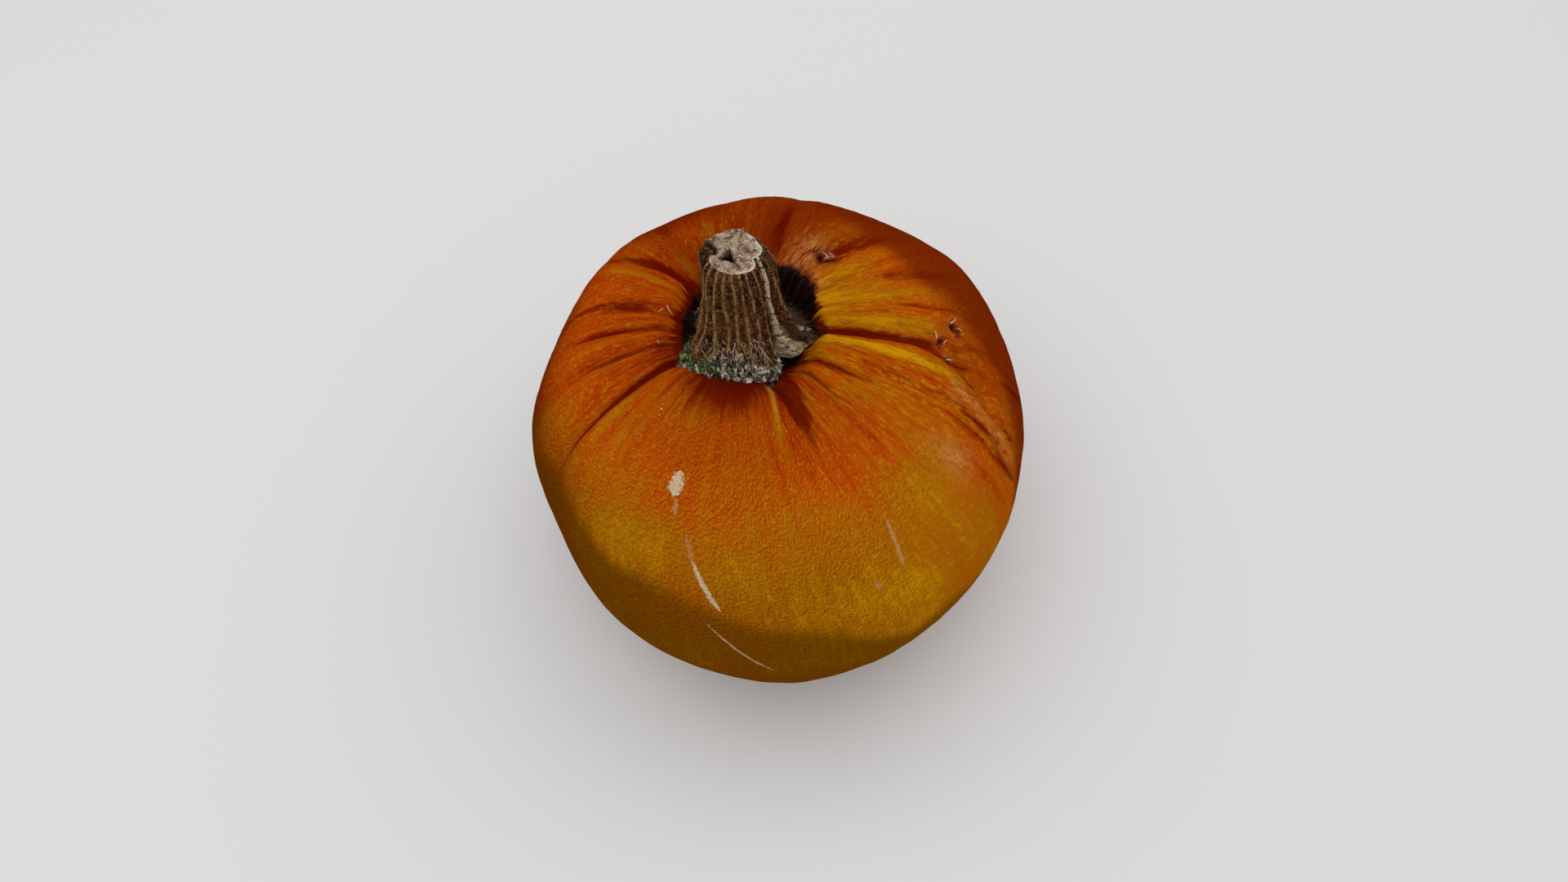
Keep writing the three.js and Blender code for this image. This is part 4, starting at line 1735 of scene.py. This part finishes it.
def thread_form(sides: int) -> Form:
    """Model a tapered thread of length 1 and radius 1 that many threads are copies of.

    Args:
        sides: how many sides it has.

    Returns:
        Its vertices and its faces.
    """
    bpy.ops.object.select_all(action="DESELECT")
    bpy.ops.mesh.primitive_circle_add(vertices=sides, radius=1.0, fill_type="NGON")
    bpy.ops.object.mode_set(mode="EDIT")
    bpy.ops.mesh.select_all(action="SELECT")
    for share in THREAD_TAPER:
        bpy.ops.mesh.extrude_region_move(TRANSFORM_OT_translate={"value": (0, 0, 1 / len(THREAD_TAPER))})
        bpy.ops.transform.resize(value=(share, share, 1))
    bpy.ops.mesh.select_all(action="SELECT")
    bpy.ops.mesh.normals_make_consistent(inside=False)
    bpy.ops.object.mode_set(mode="OBJECT")
    return taken_apart()


def joined(name: str, points: np.ndarray, faces: list[list[int]], shades: np.ndarray) -> bpy.types.Object:
    """Make one piece of many copies of a template.

    Args:
        name: the piece's name.
        points: the moved vertices of each copy, copy by vertex by axis, in millimetres.
        faces: the template's faces.
        shades: a number for each copy that its finish reads.

    Returns:
        The new object, at the origin.
    """
    copies, corners = points.shape[:2]
    mesh = bpy.data.meshes.new(name)
    every = [[corner + copy * corners for corner in face] for copy in range(copies) for face in faces]
    mesh.from_pydata((points.reshape(-1, 3) * METRES).tolist(), [], every)
    mesh.shade_smooth()
    piece = bpy.data.objects.new(name, mesh)
    bpy.context.scene.collection.objects.link(piece)
    store(piece, "shade", np.repeat(shades, corners))
    return piece


def frames(ahead: np.ndarray) -> tuple[np.ndarray, np.ndarray, np.ndarray]:
    """Give three axes at right angles for each direction.

    Args:
        ahead: the directions.

    Returns:
        Two axes across, and the direction itself, all of length 1.
    """
    ahead = unit(ahead)
    helper = np.where(np.abs(ahead[:, 2:3]) < 0.9, [[0.0, 0.0, 1.0]], [[1.0, 0.0, 0.0]])
    side = unit(np.cross(helper, ahead))
    return side, np.cross(ahead, side), ahead


@dataclass
class Threads:
    """A patch of dry threads rooted on the stem, between two azimuths and two heights.

    The lean says how far the threads go out, round and up.
    """

    name: str
    count: int
    azimuths: tuple[float, float]
    heights: tuple[float, float]
    length: tuple[float, float]
    radius: float
    lean: Triple
    finish: ThreadFinish
    seed: int
    lift: float = -0.2
    scatter: float = 0.45
    curl: float = 0.35
    droop: float = -0.15

    def build(self) -> bpy.types.Object:
        """Make and dress the patch.

        Returns:
            The patch.
        """
        draw = np.random.default_rng(self.seed)
        azimuth = draw.uniform(*self.azimuths, self.count)
        height = draw.uniform(*self.heights, self.count)
        roots = STEM.point(height, azimuth, STEM.radius(height, azimuth) + self.lift)
        outward = ring(azimuth, np.zeros(self.count))
        around = np.stack([-outward[:, 1], outward[:, 0], outward[:, 2]], -1)
        out, turn, up = self.lean
        lean = outward * out + around * turn + np.array([0, 0, up])
        side, other, ahead = frames(lean + draw.normal(0, self.scatter, (self.count, 3)))
        length = draw.uniform(*self.length, self.count)
        bend = draw.normal(0, self.curl, (self.count, 3)) + np.array([0, 0, self.droop])
        thread, faces = thread_form(3)
        thick = self.radius * draw.uniform(0.6, 1.3, self.count)
        x, y, z = (thread[None, :, axis, None] for axis in range(3))
        along = z * length[:, None, None]
        points = roots[:, None] + ahead[:, None] * along + bend[:, None] * along * z
        points = points + (side[:, None] * x + other[:, None] * y) * thick[:, None, None]
        piece = joined(self.name, points, faces, draw.uniform(0, 1, self.count))
        return dress(piece, self.finish.build(), Slot.STEM)


@dataclass
class Crumbs:
    """Crumbs that crust the foot of the stem between two azimuths, and climb highest at a third."""

    name: str
    count: int
    azimuths: tuple[float, float]
    peak: float
    climb: float
    biggest: float
    finish: ThreadFinish
    seed: int
    foot: float = 0.17
    stretch: Triple = (0.85, 0.85, 1.6)
    roughness: float = 0.45

    def build(self) -> bpy.types.Object:
        """Make and dress the crumbs.

        Returns:
            The crumbs.
        """
        draw = np.random.default_rng(self.seed)
        azimuth = draw.uniform(*self.azimuths, self.count)
        height = draw.triangular(0.0, self.climb / 4, self.climb, self.count)
        height = self.foot + height * (0.3 + 0.7 * hump(self.peak, 26, azimuth))
        lift = draw.uniform(0.2, 1.5, self.count) * (1 - step(0.3, 0.42, height))
        places = STEM.point(height, azimuth, STEM.radius(height, azimuth) + lift)
        crumb, faces = crumb_form()
        size = draw.uniform(0.3, self.biggest, (self.count, 1, 1)) ** 2
        size = size * draw.uniform(0.5, 1.4, (self.count, 1, 3))
        rare = draw.uniform(0, 1, (self.count, 1, 1)) > 0.94
        size = size * np.array(self.stretch) * np.where(rare, 1.5, 1)
        lumps = 1 + self.roughness * draw.normal(0, 1, (self.count, len(crumb), 1))
        points = places[:, None] + crumb[None] * size * lumps
        piece = joined(self.name, points, faces, draw.uniform(0, 1, self.count) ** 1.4)
        return dress(piece, self.finish.build(), Slot.STEM)


CRUSTS = (
    Crumbs("foot_crumbs", 600, (-142, -44), -100, 0.22, 1.0,
           ThreadFinish("corky_crumbs", linear(34, 22, 13), linear(216, 204, 178)), 5),
    Crumbs("moss_crumbs", 520, (-156, -110), -136, 0.16, 0.85,
           ThreadFinish("mossy_crumbs", linear(8, 11, 4), linear(148, 160, 104)), 6),
)

PATCHES = (
    Threads("pit_fuzz", 2400, (-12, 92), (0.04, 0.36), (2.5, 6.0), 0.12, (0.9, 0.2, -0.45),
            ThreadFinish("dark_fuzz", linear(18, 10, 7), linear(112, 86, 66)), 11),
    # Dark fuzz in the shaded gap between the stem and the left lobes: partly the fibres' own colour, partly
    # painted shade.
    Threads("side_fuzz", 800, (158, 226), (0.06, 0.3), (1.5, 4.0), 0.1, (0.6, 0.0, -0.5),
            ThreadFinish("side_fuzz_and_shade", linear(16, 9, 6), linear(70, 58, 40)), 12),
    Threads("foot_moss", 1500, (-154, -110), (0.14, 0.31), (0.5, 1.6), 0.16, (0.8, 0.0, 0.5),
            ThreadFinish("green_moss", linear(10, 16, 4), linear(116, 132, 72)), 13, 1.0),
    Threads("foot_shreds", 230, (-134, -58), (0.28, 0.46), (1.5, 4.5), 0.24, (0.2, 0.0, -1.0),
            ThreadFinish("tan_shreds", linear(64, 36, 24), linear(196, 166, 134)), 15, 0.3),
    Threads("foot_hairs", 420, (-176, 20), (0.1, 0.36), (0.8, 2.6), 0.06, (0.9, 0.0, 0.1),
            ThreadFinish("pale_hairs", linear(110, 92, 66), linear(196, 180, 150)), 14, 0.3),
)


@dataclass(frozen=True)
class Shred:
    """A dried shred of skin: where it is rooted, which way it points, and its size in millimetres."""

    down: float
    azimuth: float
    heading: float
    length: float
    width: float
    curl: float


SHREDS = (
    Shred(28.5, 47.0, 60, 5.0, 0.9, 0.5),
    Shred(28.0, 48.5, -20, 3.4, 0.6, -0.4),
    Shred(29.6, 46.0, 75, 3.0, 0.5, 0.3),
    Shred(47.6, 9.6, 20, 3.6, 0.9, 0.5),
    Shred(49.2, 8.6, -60, 2.6, 0.6, 0.4),
    Shred(44.6, 4.6, 100, 4.2, 0.8, 0.3),
    Shred(46.6, 3.8, 70, 2.4, 0.5, -0.4),
    Shred(48.0, -0.4, -10, 3.0, 0.6, 0.4),
    Shred(17.0, -201.0, 110, 4.4, 0.5, 0.5),
    Shred(17.6, -198.5, 95, 3.0, 0.4, -0.5),
    Shred(17.8, -170.0, 90, 2.2, 0.4, 0.3),
    Shred(25.2, -130.0, 70, 1.6, 0.5, 0.2),
    Shred(26.3, -128.6, 40, 1.2, 0.4, 0.2),
)


@dataclass
class Shreds:
    """Pale curled shreds of skin at the nicks and round the stem."""

    sides: int = 6
    flatness: float = 0.3
    lift: float = 0.1

    def build(self) -> bpy.types.Object:
        """Make and dress the shreds.

        Returns:
            The shreds.
        """
        rows = {
            name: np.array([getattr(shred, name) for shred in SHREDS])
            for name in ("down", "azimuth", "heading", "length", "width", "curl")
        }
        down, azimuth = rows["down"], rows["azimuth"]
        flat = np.zeros(len(SHREDS))
        roots = RIND.surface(down, azimuth, flat + self.lift)
        up = RIND.normal(down, azimuth)
        away = unit(RIND.surface(down + 0.5, azimuth, flat) - RIND.surface(down, azimuth, flat))
        turn = np.radians(rows["heading"])[:, None]
        ahead = away * np.cos(turn) + np.cross(up, away) * np.sin(turn)
        side = np.cross(up, ahead)
        strip, faces = thread_form(self.sides)
        x, y, along = (strip[None, :, axis, None] for axis in range(3))
        length, width, curl = (rows[name][:, None, None] for name in ("length", "width", "curl"))
        aside = x * width / 2 + curl * along**2 * length
        rise = 0.9 * np.sin(along * math.pi * 0.8) + 0.15 + y * width / 2 * self.flatness
        points = roots[:, None] + ahead[:, None] * along * length * 0.9
        points = points + side[:, None] * aside + up[:, None] * rise
        finish = ThreadFinish("dry_shreds", linear(176, 132, 96), linear(222, 198, 168))
        piece = joined("skin_shreds", points, faces, np.linspace(0.2, 1.0, len(SHREDS)))
        return dress(piece, finish.build(), Slot.SKIN)


# ---- Studio --------------------------------------------------------------------------------


@dataclass(frozen=True)
class Lamp:
    """A square soft light that faces the pumpkin: its place and size in metres, and its power in watts."""

    name: str
    place: Triple
    size: float
    power: float
    aim: Triple = (0.0, 0.0, 0.07)

    def build(self) -> None:
        """Add the light."""
        light = bpy.data.lights.new(self.name, "AREA")
        light.size = self.size
        light.energy = self.power
        lamp = bpy.data.objects.new(self.name, light)
        bpy.context.scene.collection.objects.link(lamp)
        turn = (Vector(self.aim) - Vector(self.place)).to_track_quat("-Z", "Y")
        lamp.matrix_world = Matrix.Translation(self.place) @ turn.to_matrix().to_4x4()


LAMPS = (
    Lamp("key", (-0.3, -0.05, 1.5), 2.0, 13.0),
    Lamp("fill", (0.9, 0.5, 1.2), 1.2, 2.0),
)


@dataclass
class Studio:
    """The pale floor, the soft lights and the camera, which looks down from the front."""

    elevation: float = 60.0
    distance: float = 450.0
    target: Triple = (2.7, 0.0, 68.7)
    lens: float = 24.45
    sensor: float = 36.0
    nearest: float = 0.01
    floor_size: float = 12.0
    room_light: float = 0.58

    def build(self) -> None:
        """Make the floor, the lights and the camera."""
        self.floor()
        self.room()
        for lamp in LAMPS:
            lamp.build()
        self.camera()

    def floor(self) -> None:
        """Add the floor."""
        bpy.ops.object.select_all(action="DESELECT")
        bpy.ops.mesh.primitive_plane_add(size=self.floor_size)
        floor = bpy.context.object
        floor.name = "floor"
        floor.data.materials.append(FloorFinish().build())

    def room(self) -> None:
        """Light the room evenly from all around."""
        world = bpy.data.worlds.new("soft_room")
        world.use_nodes = True
        background = world.node_tree.nodes["Background"]
        background.inputs["Color"].default_value = (1.0, 1.0, 1.0, 1.0)
        background.inputs["Strength"].default_value = self.room_light
        bpy.context.scene.world = world
        bpy.context.scene.view_settings.view_transform = "Standard"

    def camera(self) -> None:
        """Add the camera and make it the scene's."""
        up = math.radians(self.elevation)
        back = Vector((0, -math.cos(up), math.sin(up)))
        place = (Vector(self.target) + back * self.distance) * METRES
        lens = bpy.data.cameras.new("camera")
        lens.lens = self.lens
        lens.sensor_width = self.sensor
        lens.clip_start = self.nearest
        camera = bpy.data.objects.new("camera", lens)
        camera.matrix_world = Matrix.Translation(place) @ back.to_track_quat("Z", "Y").to_matrix().to_4x4()
        bpy.context.scene.collection.objects.link(camera)
        bpy.context.scene.camera = camera


def main() -> None:
    """Build the studio and every piece in order, and log their face counts."""
    logging.basicConfig(level=logging.INFO, format="%(message)s")
    Studio().build()
    Fruit().build()
    Stem().build()
    for patch in CRUSTS + PATCHES:
        patch.build()
    Shreds().build()


if __name__ == "__main__":
    main()
